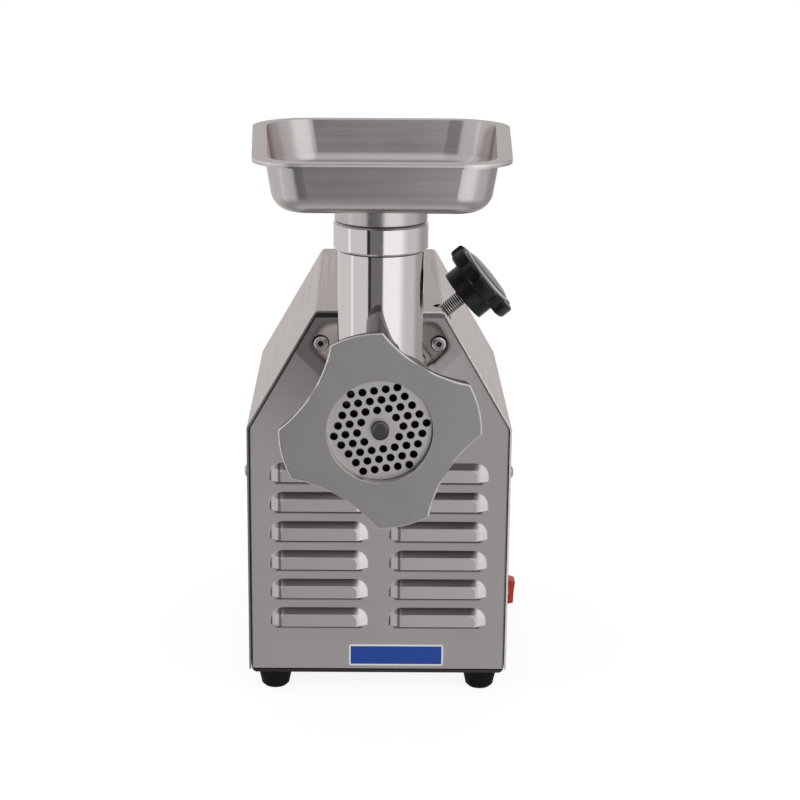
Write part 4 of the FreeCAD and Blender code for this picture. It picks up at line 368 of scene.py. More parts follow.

# %% [markdown]
# ## Louvres
# A louvre is slit and pressed out of the panel in one stroke. Its upper flank gets painted shade and its
# face is painted lighter. Its right end has a painted highlight, its left end and its crease painted shade,
# and its open lip a painted shadow on the panel below. The marks find the louvre by its row and column.

# %% Louvre marks
LOUVRE_LOWEST = BARREL_AXIS[1] - 164.8 * MM
LOUVRE_PITCH = 20.18 * MM
LOUVRE_ROWS = 6
LOUVRE_COLUMN = 39.3 * MM
LOUVRE_FACE_HALF = 27 * MM
LOUVRE_SHADE = 3.4 * MM
LOUVRE_TOP_FLANK = (8.2 * MM, 12.4 * MM)
LOUVRE_HIGHLIGHT_END = (24 * MM, 28 * MM)
LOUVRE_SHADED_END = (30.4 * MM, 31.6 * MM)
LOUVRE_CREASE_SHADE = (25.2 * MM, 26.2 * MM)
ROW_OVERLAP = 0.25
LOUVRE_FACE_PAINTED_LIGHT = (0.76, 0.72, 0.715)
LOUVRE_FLANK_PAINTED_SHADE = (0.1, 0.092, 0.092)


def louvre_marks(finish, x, y, z):
    """Painted light on a louvre: flank shade, a lighter face, lit and shaded ends, and its shadow below."""
    row = (z - LOUVRE_LOWEST) / LOUVRE_PITCH + ROW_OVERLAP
    rise = (row.maths("FRACT", row) - ROW_OVERLAP) * LOUVRE_PITCH
    right = x - x.maths("SIGN", x) * LOUVRE_COLUMN
    left = 0 - right
    rows = (row > 0) * (row < LOUVRE_ROWS)
    column = finish.step(abs(right), LOUVRE_FACE_HALF + 3 * MM, LOUVRE_FACE_HALF) * rows
    raised = finish.step(y, PANEL_FACE - 0.1 * MM, PANEL_FACE - 0.4 * MM)
    face = finish.step(y, PANEL_FACE - LOUVRE_REACH + 0.3 * MM, PANEL_FACE - LOUVRE_REACH)
    shade = finish.step(0 - rise, 0.0, 0.1 * MM) * finish.step(0 - rise, LOUVRE_SHADE, LOUVRE_SHADE * 0.6)
    flank = raised * (1 - face) * rows
    # All painted light: a lit face, shaded flank, crease and left end, a highlight on the right end, a
    # shadow.
    return [
        (face * column, 0.6, LOUVRE_FACE_PAINTED_LIGHT, 0.36),
        (flank * column * finish.band(rise, *LOUVRE_TOP_FLANK), 0.65, LOUVRE_FLANK_PAINTED_SHADE, 0.3),
        (flank * finish.step(right, *LOUVRE_HIGHLIGHT_END), 0.85, HIGHLIGHT_PAINT, 0.22),
        (flank * finish.step(left, *LOUVRE_SHADED_END), 0.85, SHADE_PAINT, 0.3),
        (raised * rows * finish.band(left, *LOUVRE_CREASE_SHADE, 0.8 * MM), 0.7, SHADE_PAINT, 0.3),
        ((1 - raised) * column * shade, 0.85, SHADE_PAINT, 0.5),
    ]


print(f"{2 * LOUVRE_ROWS} louvres to mark")

# %% [markdown]
# ## Front panel
# The front panel stands back inside the cover, and painted shade runs along its edges, darker on the left.
# The upper corners are pressed into a recess for the head's bolts, painted lit on the left and dim on the
# right, with painted shade along its edge and a painted dark reflection round it. The recess is found by
# its distance from three lines: the shoulder, the roof and a slanting line below the bolt. A painted sheen
# fades across the panel from left to right, into painted shade.

# %% Front panel finish
RECESS_MARGIN = 7.6 * MM
RECESS_BOLT_ROOM = 7 * MM
RECESS_ROUND = 9 * MM
RECESS_SWAP = 10 * MM
RECESS_PAINTED_LIT = (1.0, 0.946, 0.9)
RECESS_PAINTED_DIM = (0.38, 0.36, 0.342)
RECESS_SHADE = (0.07, 0.062, 0.058)
RECESS_EDGE_SHADE = (0.1, 0.095, 0.09)
RECESS_BORDER_REFLECTION = (0.2, 0.188, 0.186)
LEFT_BORDER = (1 * MM, 8 * MM, 1.5 * MM)
RIGHT_BORDER = (1 * MM, 6 * MM, 3 * MM)
BORDER_FADE = 20 * MM
SHOULDER_GAP = (2.7 * MM, 2.3 * MM)
ROOF_GAP = (5.6 * MM, 4.4 * MM)
SIDE_GAP = (2.6 * MM, 2.2 * MM)
GAP_FADE = 30 * MM
LEFT_SHEEN = (10 * MM, -80 * MM)
RIGHT_SHADE_RAMP = (0.0, 80 * MM)
PANEL_PAINTED_SHEEN = (0.78, 0.735, 0.728)
PANEL_PAINTED_SHADE = (0.46, 0.432, 0.428)


def recess_marks(finish, x, y, z, slope):
    """The recess, painted lit on the left and dim on the right, with painted shade and reflection round it.
    """
    lower = (z - BARREL_AXIS[1] - BOLT_RISE - abs(x) + BOLT_SPREAD) / math.sqrt(2) + RECESS_BOLT_ROOM
    upper = slope.maths("SMOOTH_MIN", slope, ROOF - z, RECESS_ROUND) - RECESS_MARGIN
    inside = lower.maths("SMOOTH_MIN", lower, upper, RECESS_ROUND)
    outside = 0 - inside
    pressed = finish.step(y, PANEL_FACE + 0.3 * MM, PANEL_FACE + 1.2 * MM)
    left_border = finish.band(outside, *LEFT_BORDER) * finish.step(x, 0.0, -BORDER_FADE)
    right_border = finish.band(outside, *RIGHT_BORDER) * finish.step(x, 0.0, BORDER_FADE)
    return [
        # Painted light: the recess floor lit on the left and dim on the right.
        (pressed * finish.step(x, RECESS_SWAP, -RECESS_SWAP), 1.0, RECESS_PAINTED_LIT, 0.32),
        (pressed * finish.step(x, -RECESS_SWAP, RECESS_SWAP), 1.0, RECESS_PAINTED_DIM, 0.26),
        # Painted shade along the recess's walls and edge, and a painted dark reflection round it.
        (pressed * finish.step(inside, 4 * MM, 0.3 * MM), 0.7, RECESS_SHADE, 0.3),
        ((1 - pressed) * finish.step(abs(inside), 2.2 * MM, 0.2 * MM), 0.5, RECESS_EDGE_SHADE, 0.3),
        (left_border, 0.5, RECESS_BORDER_REFLECTION, 0.35),
        (right_border, 0.25, RECESS_BORDER_REFLECTION, 0.35),
    ]


def panel_marks(finish):
    """A painted sheen fading to painted shade, the recess, painted shade in the gap, and the louvres."""
    x, y, z = finish.axes()
    slope = (HALF_WIDTH - abs(x)) * math.cos(LEAN) + (SHOULDER - z) * math.sin(LEAN)
    gap = finish.step(slope, *SHOULDER_GAP)
    gap = gap.maths("MAXIMUM", gap, finish.step(ROOF - z, *ROOF_GAP))
    gap = gap.maths("MAXIMUM", gap, finish.step(HALF_WIDTH - abs(x), *SIDE_GAP))
    return [
        # A painted sheen on the left that fades into painted shade on the right.
        (finish.step(x, *LEFT_SHEEN), 0.5, PANEL_PAINTED_SHEEN, 0.4),
        (finish.step(x, *RIGHT_SHADE_RAMP), 0.5, PANEL_PAINTED_SHADE, 0.4),
        *recess_marks(finish, x, y, z, slope),
        # Painted shade in the gap along the cover, darker on the left than on the right.
        (gap * finish.step(x, GAP_FADE, 0.0), 0.9, SHADE_PAINT, 0.5),
        (gap * finish.step(x, 0.0, GAP_FADE), 0.55, SHADE_PAINT, 0.5),
        *louvre_marks(finish, x, y, z),
    ]


panel_steel = brushed("panel_steel", (0.62, 0.582, 0.577), 0.40, "X", panel_marks, spread=0.14)
print("front panel finish:", panel_steel.name)

# %% [markdown]
# ## Rear panel and tray
# The rear panel is the same sheet as the front one, without its marks. The tray is a darker sheet that
# shows as a strip under the cover, with painted shade where it goes up behind the panel.

# %% Rear panel and tray finishes
TRAY_GAP_SHADE = (1.5 * MM, 1.1 * MM)


def tray_marks(finish):
    """Painted shade in the gap where the tray goes up behind the panel."""
    z = finish.axes()[2]
    return [(finish.step(COVER_BOTTOM - z, *TRAY_GAP_SHADE), 0.9, SHADE_PAINT, 0.6)]


rear_steel = brushed("rear_steel", (0.60, 0.563, 0.558), 0.38, "X")
tray_steel = brushed("tray_steel", (0.075, 0.07, 0.069), 0.40, "X", tray_marks)
print("rear panel and tray finishes:", rear_steel.name, tray_steel.name)

# %% [markdown]
# ## Feed pan
# A feed pan is pressed from one sheet and brushed round its walls, so its strokes run level. Its rim is
# rolled, with a painted highlight on its edge and painted shadow below it. The lower outer wall is painted
# lighter, and painted shade lies in the joint with the collar. The outer wall is told from the inner one
# by its distance from the pan's outline, which is a rectangle with round corners that widens to the back.

# %% Feed pan finish
pan_low, pan_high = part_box("feed_pan")
PAN_RIM = pan_high.z
PAN_FRONT_HALF = 72.5 * MM
PAN_BACK_HALF = 82.5 * MM
PAN_LENGTH = 190 * MM
PAN_SPLAY = (PAN_BACK_HALF - PAN_FRONT_HALF) / PAN_LENGTH
PAN_CORNER = 29 * MM
PAN_FLANGE = 7.3 * MM
PAN_WALL_MIDDLE = 1.1 * MM
HEM_SHADE = (PAN_RIM - 3.9 * MM, PAN_RIM - 2.7 * MM)
RIM_HIGHLIGHT = (PAN_RIM - 1.5 * MM, PAN_RIM - 0.3 * MM)
LOWER_WALL_LIGHT_RAMP = (PAN_RIM - 10 * MM, PAN_RIM - 26 * MM)
COLLAR_JOINT_SHADE = (THROAT_TOP - 1 * MM, THROAT_TOP + 0.8 * MM)
PAN_WALL_PAINTED_LIGHT = (0.86, 0.815, 0.8)


def outside_of_pan(x, y):
    """1 on the pan's outer wall and its hem, 0 on the inner wall, at the front and the sides."""
    sideways = abs(x) - (y - pan_low.y) * PAN_SPLAY - (PAN_FRONT_HALF - PAN_CORNER)
    sideways = sideways.maths("MAXIMUM", sideways, 0.0)
    forward = pan_low.y + PAN_CORNER - y
    forward = forward.maths("MAXIMUM", forward, 0.0)
    return distance(sideways, forward) > PAN_CORNER - PAN_FLANGE - PAN_WALL_MIDDLE


def pan_marks(finish):
    """Painted shadow below the hem, a painted rim highlight, a lit lower wall, and shade at the collar."""
    x, y, z = finish.axes()
    outer = outside_of_pan(x, y)
    # Painted light: shadow under the hem, a highlight on the rim, a lit lower wall and shade at the collar.
    return [
        (outer * finish.band(z, *HEM_SHADE), 0.75, SHADE_PAINT, 0.4),
        (outer * finish.band(z, *RIM_HIGHLIGHT), 0.7, HIGHLIGHT_PAINT, 0.5),
        (outer * finish.step(z, *LOWER_WALL_LIGHT_RAMP), 0.5, PAN_WALL_PAINTED_LIGHT, 0.34),
        (finish.band(z, *COLLAR_JOINT_SHADE), 0.9, SHADE_PAINT, 0.4),
    ]


def level_brushed(name, colour, roughness, marks, spread=0.2, depth=0.006 * MM):
    """Pressed steel brushed in level strokes: streaks that follow the height alone."""
    finish = Finish(name, metallic=1.0)
    strokes = finish.noise(1100.0, 3.0, 0.6, (0.015, 0.015, 1.0))
    bands = finish.noise(170.0, 2.0, 0.5, (0.03, 0.03, 1.0))
    smudge = finish.noise(18.0, 3.0, 0.6)
    streak = strokes * 0.55 + bands * 0.45
    return finish.grained(colour, roughness, spread, streak, smudge, 0.7, (0.14, 0.1), marks, depth)


pan_steel = level_brushed("pan_steel", (0.63, 0.596, 0.587), 0.22, pan_marks)
print("feed pan finish:", pan_steel.name)

# %% [markdown]
# ## The cutting head and its nut
# The head is cast and then polished until the throat is a mirror. Painted shadow marks the step below its
# collar, with a painted highlight above. The ring nut is left matt from the mould, with painted highlights
# on its edges and painted shade on its sides.

# %% Head and nut finishes
COLLAR_LOW = THROAT_TOP - 17 * MM
COLLAR_SHADOW = (COLLAR_LOW - 0.9 * MM, COLLAR_LOW + 0.05 * MM)
COLLAR_HIGHLIGHT = (COLLAR_LOW + 0.3 * MM, COLLAR_LOW + 0.9 * MM)
NUT_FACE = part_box("ring_nut")[0].y
NUT_OPENING = 40 * MM
NUT_LOBE_DEPTH = 14.5 * MM
NUT_ROUNDING = (0.2 * MM, 0.65 * MM)
NUT_SIDES = (1.3 * MM, NUT_LOBE_DEPTH - 2 * MM, 0.55 * MM)
NUT_EDGE_HIGHLIGHT = (0.9, 0.89, 0.89)
NUT_SIDE_SHADE = (0.07, 0.068, 0.067)


def collar_marks(finish):
    """Painted shadow where the collar steps out from the throat, with a painted highlight above it."""
    z = finish.axes()[2]
    return [
        (finish.band(z, *COLLAR_SHADOW), 0.9, SHADE_PAINT, 0.3),
        (finish.band(z, *COLLAR_HIGHLIGHT), 0.6, HIGHLIGHT_PAINT, 0.4),
    ]


def nut_marks(finish):
    """Painted highlights on the rounded edges of the face and the opening, and painted shade on the sides.
    """
    x, y, z = finish.axes()
    behind = y - NUT_FACE
    outer = distance(x - BARREL_AXIS[0], z - BARREL_AXIS[1]) > NUT_OPENING
    return [
        (finish.band(behind, *NUT_ROUNDING), 1.0, NUT_EDGE_HIGHLIGHT, 0.42),
        (finish.band(behind, *NUT_SIDES) * outer, 1.0, NUT_SIDE_SHADE, 0.45),
    ]


polished = turned(
    "polished_cast", (0.80, 0.765, 0.76), 0.07, BARREL_AXIS, collar_marks,
    spread=0.06, grain=300.0, depth=0.002 * MM)
nut_cast = cast("nut_cast", (0.45, 0.44, 0.44), 0.42, nut_marks, spread=0.22)
print("head and nut finishes:", polished.name, nut_cast.name)

# %% [markdown]
# ## Grinding plate, knife and auger
# The plate is ground flat, which leaves rings round the auger's pin. Its holes are painted with shade
# inside, so everything between its two faces goes black, out to the rim. A painted shadow of the nut's
# edge lies on the rim, a little more on the right. The knife and the auger are given very dark steel, as
# painted shade for the inside of the head.

# %% Plate, knife and auger finishes
PLATE_RIM = 33 * MM
RIM_SHADE = (31.0 * MM, 31.8 * MM)
RIM_SHIFT = (0.5 * MM, -0.2 * MM)
HOLE_START = 0.2 * MM
HOLE_DEEP = 0.9 * MM
HOLE_SHADE = (0.012, 0.011, 0.011)


def drilled(name, colour, roughness):
    """A ground plate with painted shade in its holes and a painted shadow on its rim."""
    finish = Finish(name, metallic=1.0)
    radius, rings = finish.ringed(BARREL_AXIS, 1100.0)
    smudge = finish.noise(30.0, 3.0, 0.55)
    x, y, z = finish.axes()
    half = (plate_high.y - plate_low.y) / 2
    from_middle = abs(y - (plate_low.y + half))
    # Painted shade inside the holes, between the plate's two faces.
    hollow = finish.step(from_middle, half - HOLE_START, half - HOLE_DEEP) * (radius < PLATE_RIM)
    # A painted shadow of the nut's edge on the rim.
    shifted = distance(x - BARREL_AXIS[0] + RIM_SHIFT[0], z - BARREL_AXIS[1] + RIM_SHIFT[1])
    ground = finish.shade(colour, rings * 0.6 + smudge * 0.4, 0.10)
    face = finish.mixed(finish.step(shifted, *RIM_SHADE) * 0.85, ground, SHADE_PAINT)
    rough = hollow * 0.3 + rings * 0.14 + smudge * 0.1 + (roughness - 0.12)
    return finish.wear(finish.mixed(hollow, face, HOLE_SHADE), rough, rings, 0.012 * MM)


plate_steel = drilled("plate_steel", (0.74, 0.70, 0.695), 0.42)
# The knife and the auger are very dark: painted shade that stands for the dark inside of the head.
knife_steel = turned("knife_steel", (0.06, 0.058, 0.058), 0.45, BARREL_AXIS)
auger_steel = turned("auger_steel", (0.13, 0.126, 0.126), 0.30, BARREL_AXIS)
bush_brass = turned("bush_brass", (0.70, 0.50, 0.22), 0.30, BARREL_AXIS)
print("finishes:", plate_steel.name, knife_steel.name, auger_steel.name, bush_brass.name)

# %% [markdown]
# ## Plastic and rubber
# The feet are matt rubber, and the rocker is a red plastic that takes a thin coat. The switch, the inlet
# and the fan are plain black mouldings, and the capacitor's can is a light grey.

# %% Plastic and rubber finishes
foot_rubber = moulded("foot_rubber", (0.007, 0.007, 0.007), 0.62, gloss=0.1, grain=900.0, depth=0.04 * MM)
switch_black = moulded("switch_black", (0.02, 0.02, 0.02), 0.38)
rocker_red = moulded("rocker_red", (0.44, 0.036, 0.016), 0.3, coat=0.1, gloss=0.35, spread=0.12)
inlet_black = moulded("inlet_black", (0.02, 0.02, 0.02), 0.45)
fan_black = moulded("fan_black", (0.03, 0.03, 0.03), 0.5)
seal_rubber = moulded("seal_rubber", (0.05, 0.025, 0.02), 0.55)
capacitor_grey = moulded("capacitor_grey", (0.70, 0.70, 0.67), 0.45, spread=0.06)
print("plastic and rubber finishes ready")

# %% [markdown]
# ## Knob, clamp screw and bolts
# The knob is glossy black, and the edge of its cap has a painted highlight. Screws are bright plated steel.
# The thread has painted shade between its crests, and the bolts have painted shade in their sockets, a
# painted dark ring round each and painted shadow round their heads. The clamp screw leans, so its marks
# follow its own axis.

# %% Hardware finishes
CLAMP_ANGLE = math.radians(40)
CLAMP_AXIS = Vector((math.cos(CLAMP_ANGLE), 0, math.sin(CLAMP_ANGLE)))
CLAMP_OFFSET = 9.2 * MM
CLAMP_DEPTH = -20.25 * MM
CLAMP_POINT = Vector((
    -CLAMP_OFFSET * math.sin(CLAMP_ANGLE),
    CLAMP_DEPTH,
    BARREL_AXIS[1] + CLAMP_OFFSET * math.cos(CLAMP_ANGLE)))
KNOB_FACE = 97 * MM
CAP_EDGE = (KNOB_FACE + 0.2 * MM, KNOB_FACE + 1.35 * MM)
CAP_EDGE_HIGHLIGHT = (0.6, 0.6, 0.6)
THREAD_ROOT_SHADE = (4.65 * MM, 4.3 * MM)
BOLT_SOCKET = (2.0 * MM, 1.7 * MM)
BOLT_SHADE_RING = (3.1 * MM, 3.5 * MM)
BOLT_RIM_SHADOW = (4.5 * MM, 5.1 * MM)


def clamp_places(finish):
    """How far each point lies along the clamp screw's axis, and from it."""
    x, y, z = finish.axes()
    along = (x - CLAMP_POINT.x) * CLAMP_AXIS.x + (z - CLAMP_POINT.z) * CLAMP_AXIS.z
    across = (z - CLAMP_POINT.z) * CLAMP_AXIS.x - (x - CLAMP_POINT.x) * CLAMP_AXIS.z
    return along, distance(across, y - CLAMP_POINT.y)


def cap_marks(finish):
    """A painted highlight round the cap's edge."""
    along = clamp_places(finish)[0]
    return [(finish.band(along, *CAP_EDGE), 0.9, CAP_EDGE_HIGHLIGHT, 0.4)]


def thread_marks(finish):
    """Painted shade in the roots between the thread's bright crests."""
    radius = clamp_places(finish)[1]
    return [(finish.step(radius, *THREAD_ROOT_SHADE), 0.95, SHADE_PAINT, 0.5)]


def bolt_marks(finish):
    """Painted shade in the sockets, a painted dark ring round each, and painted shadow round the head."""
    x, y, z = finish.axes()
    radius = distance(abs(x) - BOLT_SPREAD, abs(z - BARREL_AXIS[1]) - BOLT_RISE)
    return [
        (finish.step(radius, *BOLT_SOCKET), 0.95, SHADE_PAINT, 0.4),
        (finish.band(radius, *BOLT_SHADE_RING), 0.6, SHADE_PAINT, 0.3),
        (finish.step(radius, *BOLT_RIM_SHADOW), 0.95, SHADE_PAINT, 0.3),
    ]


PLATED = {"spread": 0.10, "depth": 0.008 * MM}
screw_steel = cast("screw_steel", (0.66, 0.66, 0.67), 0.20, grain=1500.0, **PLATED)
knob_black = moulded("knob_black", (0.006, 0.006, 0.006), 0.3, gloss=0.3)
cap_black = moulded("cap_black", (0.008, 0.008, 0.008), 0.3, coat=0.4, marks=cap_marks)
thread_steel = cast("thread_steel", (0.66, 0.65, 0.65), 0.25, thread_marks, **PLATED)
bolt_steel = cast("bolt_steel", (0.56, 0.545, 0.54), 0.22, bolt_marks, grain=1500.0, **PLATED)
print("hardware finishes ready")

# %% [markdown]
# ## The blank nameplate
# A nameplate is a thin printed metal plate. This one carries nothing: a plain blue field inside a light
# border. The border is drawn by the distance from the plate's edges, measured on the plate itself.

# %% Nameplate finish
NAMEPLATE_BORDER = 1.1 * MM
FIELD_BLUE = (0.004, 0.05, 0.3)
BORDER_GREY = (0.72, 0.73, 0.74)
low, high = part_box("blank_nameplate")
centre = (low + high) / 2
half = (high - low) / 2
plate_paint = Finish("nameplate_blue", metallic=0.0, coat_weight=0.1)
x, y, z = plate_paint.axes()
inside_x = abs(x - centre.x) < half.x - NAMEPLATE_BORDER
inside_z = abs(z - centre.z) < half.z - NAMEPLATE_BORDER
speckle = plate_paint.noise(900.0, 2.0, 0.5)
field = plate_paint.shade(FIELD_BLUE, speckle, 0.15)
border = plate_paint.shade(BORDER_GREY, speckle, 0.08)
nameplate_blue = plate_paint.wear(
    plate_paint.mixed(inside_x * inside_z, border, field), speckle * 0.1 + 0.27, speckle, 0.006 * MM)
print(f"nameplate {2 * half.x / MM:.1f} x {2 * half.z / MM:.1f} mm")

# %% [markdown]
# ## Inside the housing
# The gear case and the motor's shields are cast aluminium, the gears and shafts machined steel. A motor's
# core is a stack of thin sheets, so fine dark lines run round it, and its windings show the wires'
# direction.

# %% Inner finishes
LAYSHAFT_AXIS = (0.0, BARREL_AXIS[1] - 54 * MM)
case_cast = cast("case_cast", (0.52, 0.52, 0.51), 0.48)
gear_steel = turned("gear_steel", (0.42, 0.42, 0.43), 0.34, LAYSHAFT_AXIS)
bearing_steel = turned("bearing_steel", (0.58, 0.58, 0.59), 0.22, LAYSHAFT_AXIS)
core_steel = layered("core_steel", (0.12, 0.12, 0.13), (0.30, 0.30, 0.31), 1.0 * MM, 0.45, 0.9)
winding_copper = layered("winding_copper", (0.36, 0.13, 0.05), (0.72, 0.34, 0.15), 0.9 * MM, 0.35, 0.8)
print("finishes:", case_cast.name, gear_steel.name, bearing_steel.name, core_steel.name, winding_copper.name)

# %% [markdown]
# ## Dress the CAD nodes
# A node whose shape is right keeps it and only takes a finish. The table pairs each finish with the nodes
# that wear it.

# %% Assign the finishes
DRESS = {
    cover_steel: ["housing_cover"],
    panel_steel: ["front_panel"],
    rear_steel: ["rear_panel"],
    tray_steel: ["base_tray", "motor_cradle", "capacitor_clip"],
    pan_steel: ["feed_pan"],
    polished: ["grinder_head"],
    auger_steel: ["auger"],
    nut_cast: ["ring_nut"],
    plate_steel: ["grinder_plate"],
    knife_steel: ["cross_knife"],
    bush_brass: ["auger_bush", "thrust_washer"],
    knob_black: ["clamp_knob"],
    cap_black: ["knob_cap"],
    foot_rubber: ["rubber_feet"],
    switch_black: ["switch_body"],
    rocker_red: ["switch_rocker"],
    inlet_black: ["cable_inlet", "inlet_lock_nut"],
    fan_black: ["motor_fan"],
    seal_rubber: ["output_seal"],
    capacitor_grey: ["run_capacitor"],
    screw_steel: ["cover_screws", "foot_screws", "gear_case_screws", "motor_through_bolts", "rocker_pivot",
                  "plate_key_pin", "clamp_stud"],
    bolt_steel: ["head_bolts"],
    nameplate_blue: ["blank_nameplate"],
    case_cast: ["gear_case", "gear_case_cover", "motor_front_shield", "motor_rear_shield"],
    gear_steel: ["rotor_shaft", "layshaft", "layshaft_gear", "output_shaft", "output_gear"],
    bearing_steel: ["output_bearings", "layshaft_bearings", "motor_bearings"],
    core_steel: ["stator_core", "rotor_core"],
    winding_copper: ["stator_windings"],
}
for material, names in DRESS.items():
    for name in names:
        nodes[name].data.materials.clear()
        nodes[name].data.materials.append(material)
dressed = sum(len(names) for names in DRESS.values())
print(f"{dressed} of {len(nodes)} nodes dressed")

# %% [markdown]
# ## Geometry Nodes to plain mesh
# A screw thread follows a spiral, and the rims of the plate's holes repeat one ring, so both are made by
# Geometry Nodes trees with named sizes. The export drops instances, so each tree ends in Realize
# Instances and Set Material, and the result is turned into a plain mesh before it joins the model.


# %% Geometry Nodes helpers
class Recipe(Graph):
    """A Geometry Nodes tree with named sizes."""

    def __init__(self, name, sizes):
        super().__init__(bpy.data.node_groups.new(name, "GeometryNodeTree"))
        face = self.tree.interface
        face.new_socket("Geometry", in_out="INPUT", socket_type="NodeSocketGeometry")
        face.new_socket("Geometry", in_out="OUTPUT", socket_type="NodeSocketGeometry")
        self.sizes = sizes
        for label in sizes:
            face.new_socket(label, in_out="INPUT", socket_type="NodeSocketFloat")
        entry = self.tree.nodes.new("NodeGroupInput")
        self.geometry = Wire(self, entry.outputs["Geometry"])
        self.size = {label: Wire(self, entry.outputs[label]) for label in sizes}

    def joined(self, *pieces):
        """Several geometries as one."""
        both = self.node("GeometryNodeJoinGeometry")
        for piece in pieces:
            self.feed(both.socket.node.inputs["Geometry"], piece)
        return both

    def moved_up(self, geometry, height):
        """A geometry lifted along Z."""
        lift = self.node("ShaderNodeCombineXYZ", None, {"Z": height})
        return self.node("GeometryNodeTransform", None, {"Geometry": geometry, "Translation": lift})

    def close(self, geometry, material):
        """End the tree: real geometry, with its material."""
        solid = self.node("GeometryNodeRealizeInstances", None, {"Geometry": geometry})
        painted = self.node("GeometryNodeSetMaterial", None, {"Geometry": solid, "Material": material})
        leave = self.tree.nodes.new("NodeGroupOutput")
        self.feed(leave.inputs["Geometry"], painted)

    def mesh(self, name, points=()):
        """Run the tree on some points and keep the result as a plain mesh object."""
        start = bpy.data.meshes.new(name)
        start.from_pydata([tuple(point) for point in points], [], [])
        piece = bpy.data.objects.new(name, start)
        bpy.context.scene.collection.objects.link(piece)
        modifier = piece.modifiers.new("recipe", "NODES")
        modifier.node_group = self.tree
        for item in self.tree.interface.items_tree:
            if item.in_out == "INPUT" and item.name in self.sizes:
                modifier[item.identifier] = float(self.sizes[item.name])
        graph = bpy.context.evaluated_depsgraph_get()
        made = bpy.data.meshes.new_from_object(piece.evaluated_get(graph))
        piece.modifiers.clear()
        piece.data = made
        return piece


def smooth(piece, angle):
    """Round shading over everything flatter than an angle, in degrees."""
    piece.data.shade_smooth()
    piece.data.set_sharp_from_angle(angle=math.radians(angle))
    return piece


print("recipes ready")

# %% [markdown]
# ## The clamp screw's thread
# The clamp screw is a threaded rod, and a short length shows between the cover and the knob. A spiral
# swept with a small round makes the crests, and a core bar fills the roots. The spiral ends a little
# short of the bar's ends.

# %% Threaded clamp screw
STUD_START = 20.3 * MM
STUD_END = 94.8 * MM
STUD_RADIUS = 4.9 * MM
CREST = 0.52 * MM
CORE_INSET = 1.35 * CREST
STEPS_A_TURN = 28
CREST_SIDES = 8
CORE_SIDES = 40
thread = Recipe("clamp_thread", {
    "Spiral radius": STUD_RADIUS - CREST, "Crest": CREST, "Core radius": STUD_RADIUS - CORE_INSET,
    "Pitch": 1.5 * MM, "Length": STUD_END - STUD_START})
size = thread.size
spiral_length = size["Length"] - 4 * size["Crest"]
crest_path = thread.node("GeometryNodeCurveSpiral", None, {
    "Resolution": STEPS_A_TURN, "Rotations": spiral_length / size["Pitch"], "Height": spiral_length,
    "Start Radius": size["Spiral radius"], "End Radius": size["Spiral radius"]})
crest_round = thread.node("GeometryNodeCurvePrimitiveCircle", None, {
    "Resolution": CREST_SIDES, "Radius": size["Crest"]})
crests = thread.node("GeometryNodeCurveToMesh", None, {
    "Curve": crest_path, "Profile Curve": crest_round, "Fill Caps": True})
core = thread.node("GeometryNodeMeshCylinder", None, {
    "Vertices": CORE_SIDES, "Radius": size["Core radius"], "Depth": size["Length"]})
rod = thread.joined(thread.moved_up(crests, size["Crest"] * 2), thread.moved_up(core, size["Length"] / 2))
thread.close(rod, thread_steel)
stud = smooth(thread.mesh("threaded_clamp_screw"), 50)
lean = Matrix.Rotation(math.radians(90) - CLAMP_ANGLE, 4, "Y")
stud.data.transform(Matrix.Translation(CLAMP_POINT + CLAMP_AXIS * STUD_START) @ lean)
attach(stud, "clamp_screw")
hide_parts("clamp_stud")
print(f"thread with {len(stud.data.polygons)} faces")

# %% [markdown]
# ## Rims of the plate's holes
# The edge of a drilled hole wears round. The holes lie on a triangular grid, in hexagons round the pin.
# One thin ring of the dark knife steel is set on each hole's edge as painted shade, which also hides the
# facets of the hole.

# %% Hole rims
HOLE_PITCH = 7.0 * MM
HOLE_TURN = math.radians(9)
FIRST_HEXAGON = 2
LAST_HEXAGON = 4
hole_spots = []
for row in range(-LAST_HEXAGON, LAST_HEXAGON + 1):
    for column in range(-LAST_HEXAGON, LAST_HEXAGON + 1):
        hexagon = max(abs(row), abs(column), abs(row + column))
        if FIRST_HEXAGON <= hexagon <= LAST_HEXAGON:
            spot = Vector((column + row / 2, row * math.sqrt(3) / 2)) * HOLE_PITCH
            spot.rotate(Matrix.Rotation(HOLE_TURN, 2))
            hole_spots.append((spot.x, plate_low.y, spot.y + BARREL_AXIS[1]))
rims = Recipe("hole_rims", {"Hole radius": 2.33 * MM, "Rim": 0.13 * MM})
edge = rims.node("GeometryNodeCurvePrimitiveCircle", None, {
    "Resolution": 24, "Radius": rims.size["Hole radius"]})
section = rims.node("GeometryNodeCurvePrimitiveCircle", None, {
    "Resolution": 6, "Radius": rims.size["Rim"]})
rim = rims.node("GeometryNodeCurveToMesh", None, {"Curve": edge, "Profile Curve": section})
# The rims wear the dark knife steel: painted shade on each hole's edge.
rims.close(rims.node("GeometryNodeInstanceOnPoints", None, {
    "Points": rims.geometry, "Instance": rim, "Rotation": (math.radians(90), 0, 0)}), knife_steel)
hole_rims = smooth(rims.mesh("plate_hole_rims", hole_spots), 80)
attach(hole_rims, "plate")
print(f"{len(hole_spots)} rims")

# %% [markdown]
# ## The ring nut's drafted sides
# A casting narrows away from its face so that it leaves the mould. The CAD nut has straight sides. A copy
# of its mesh is merged and drawn in behind the face, a little more with each millimetre, and takes its
# place.

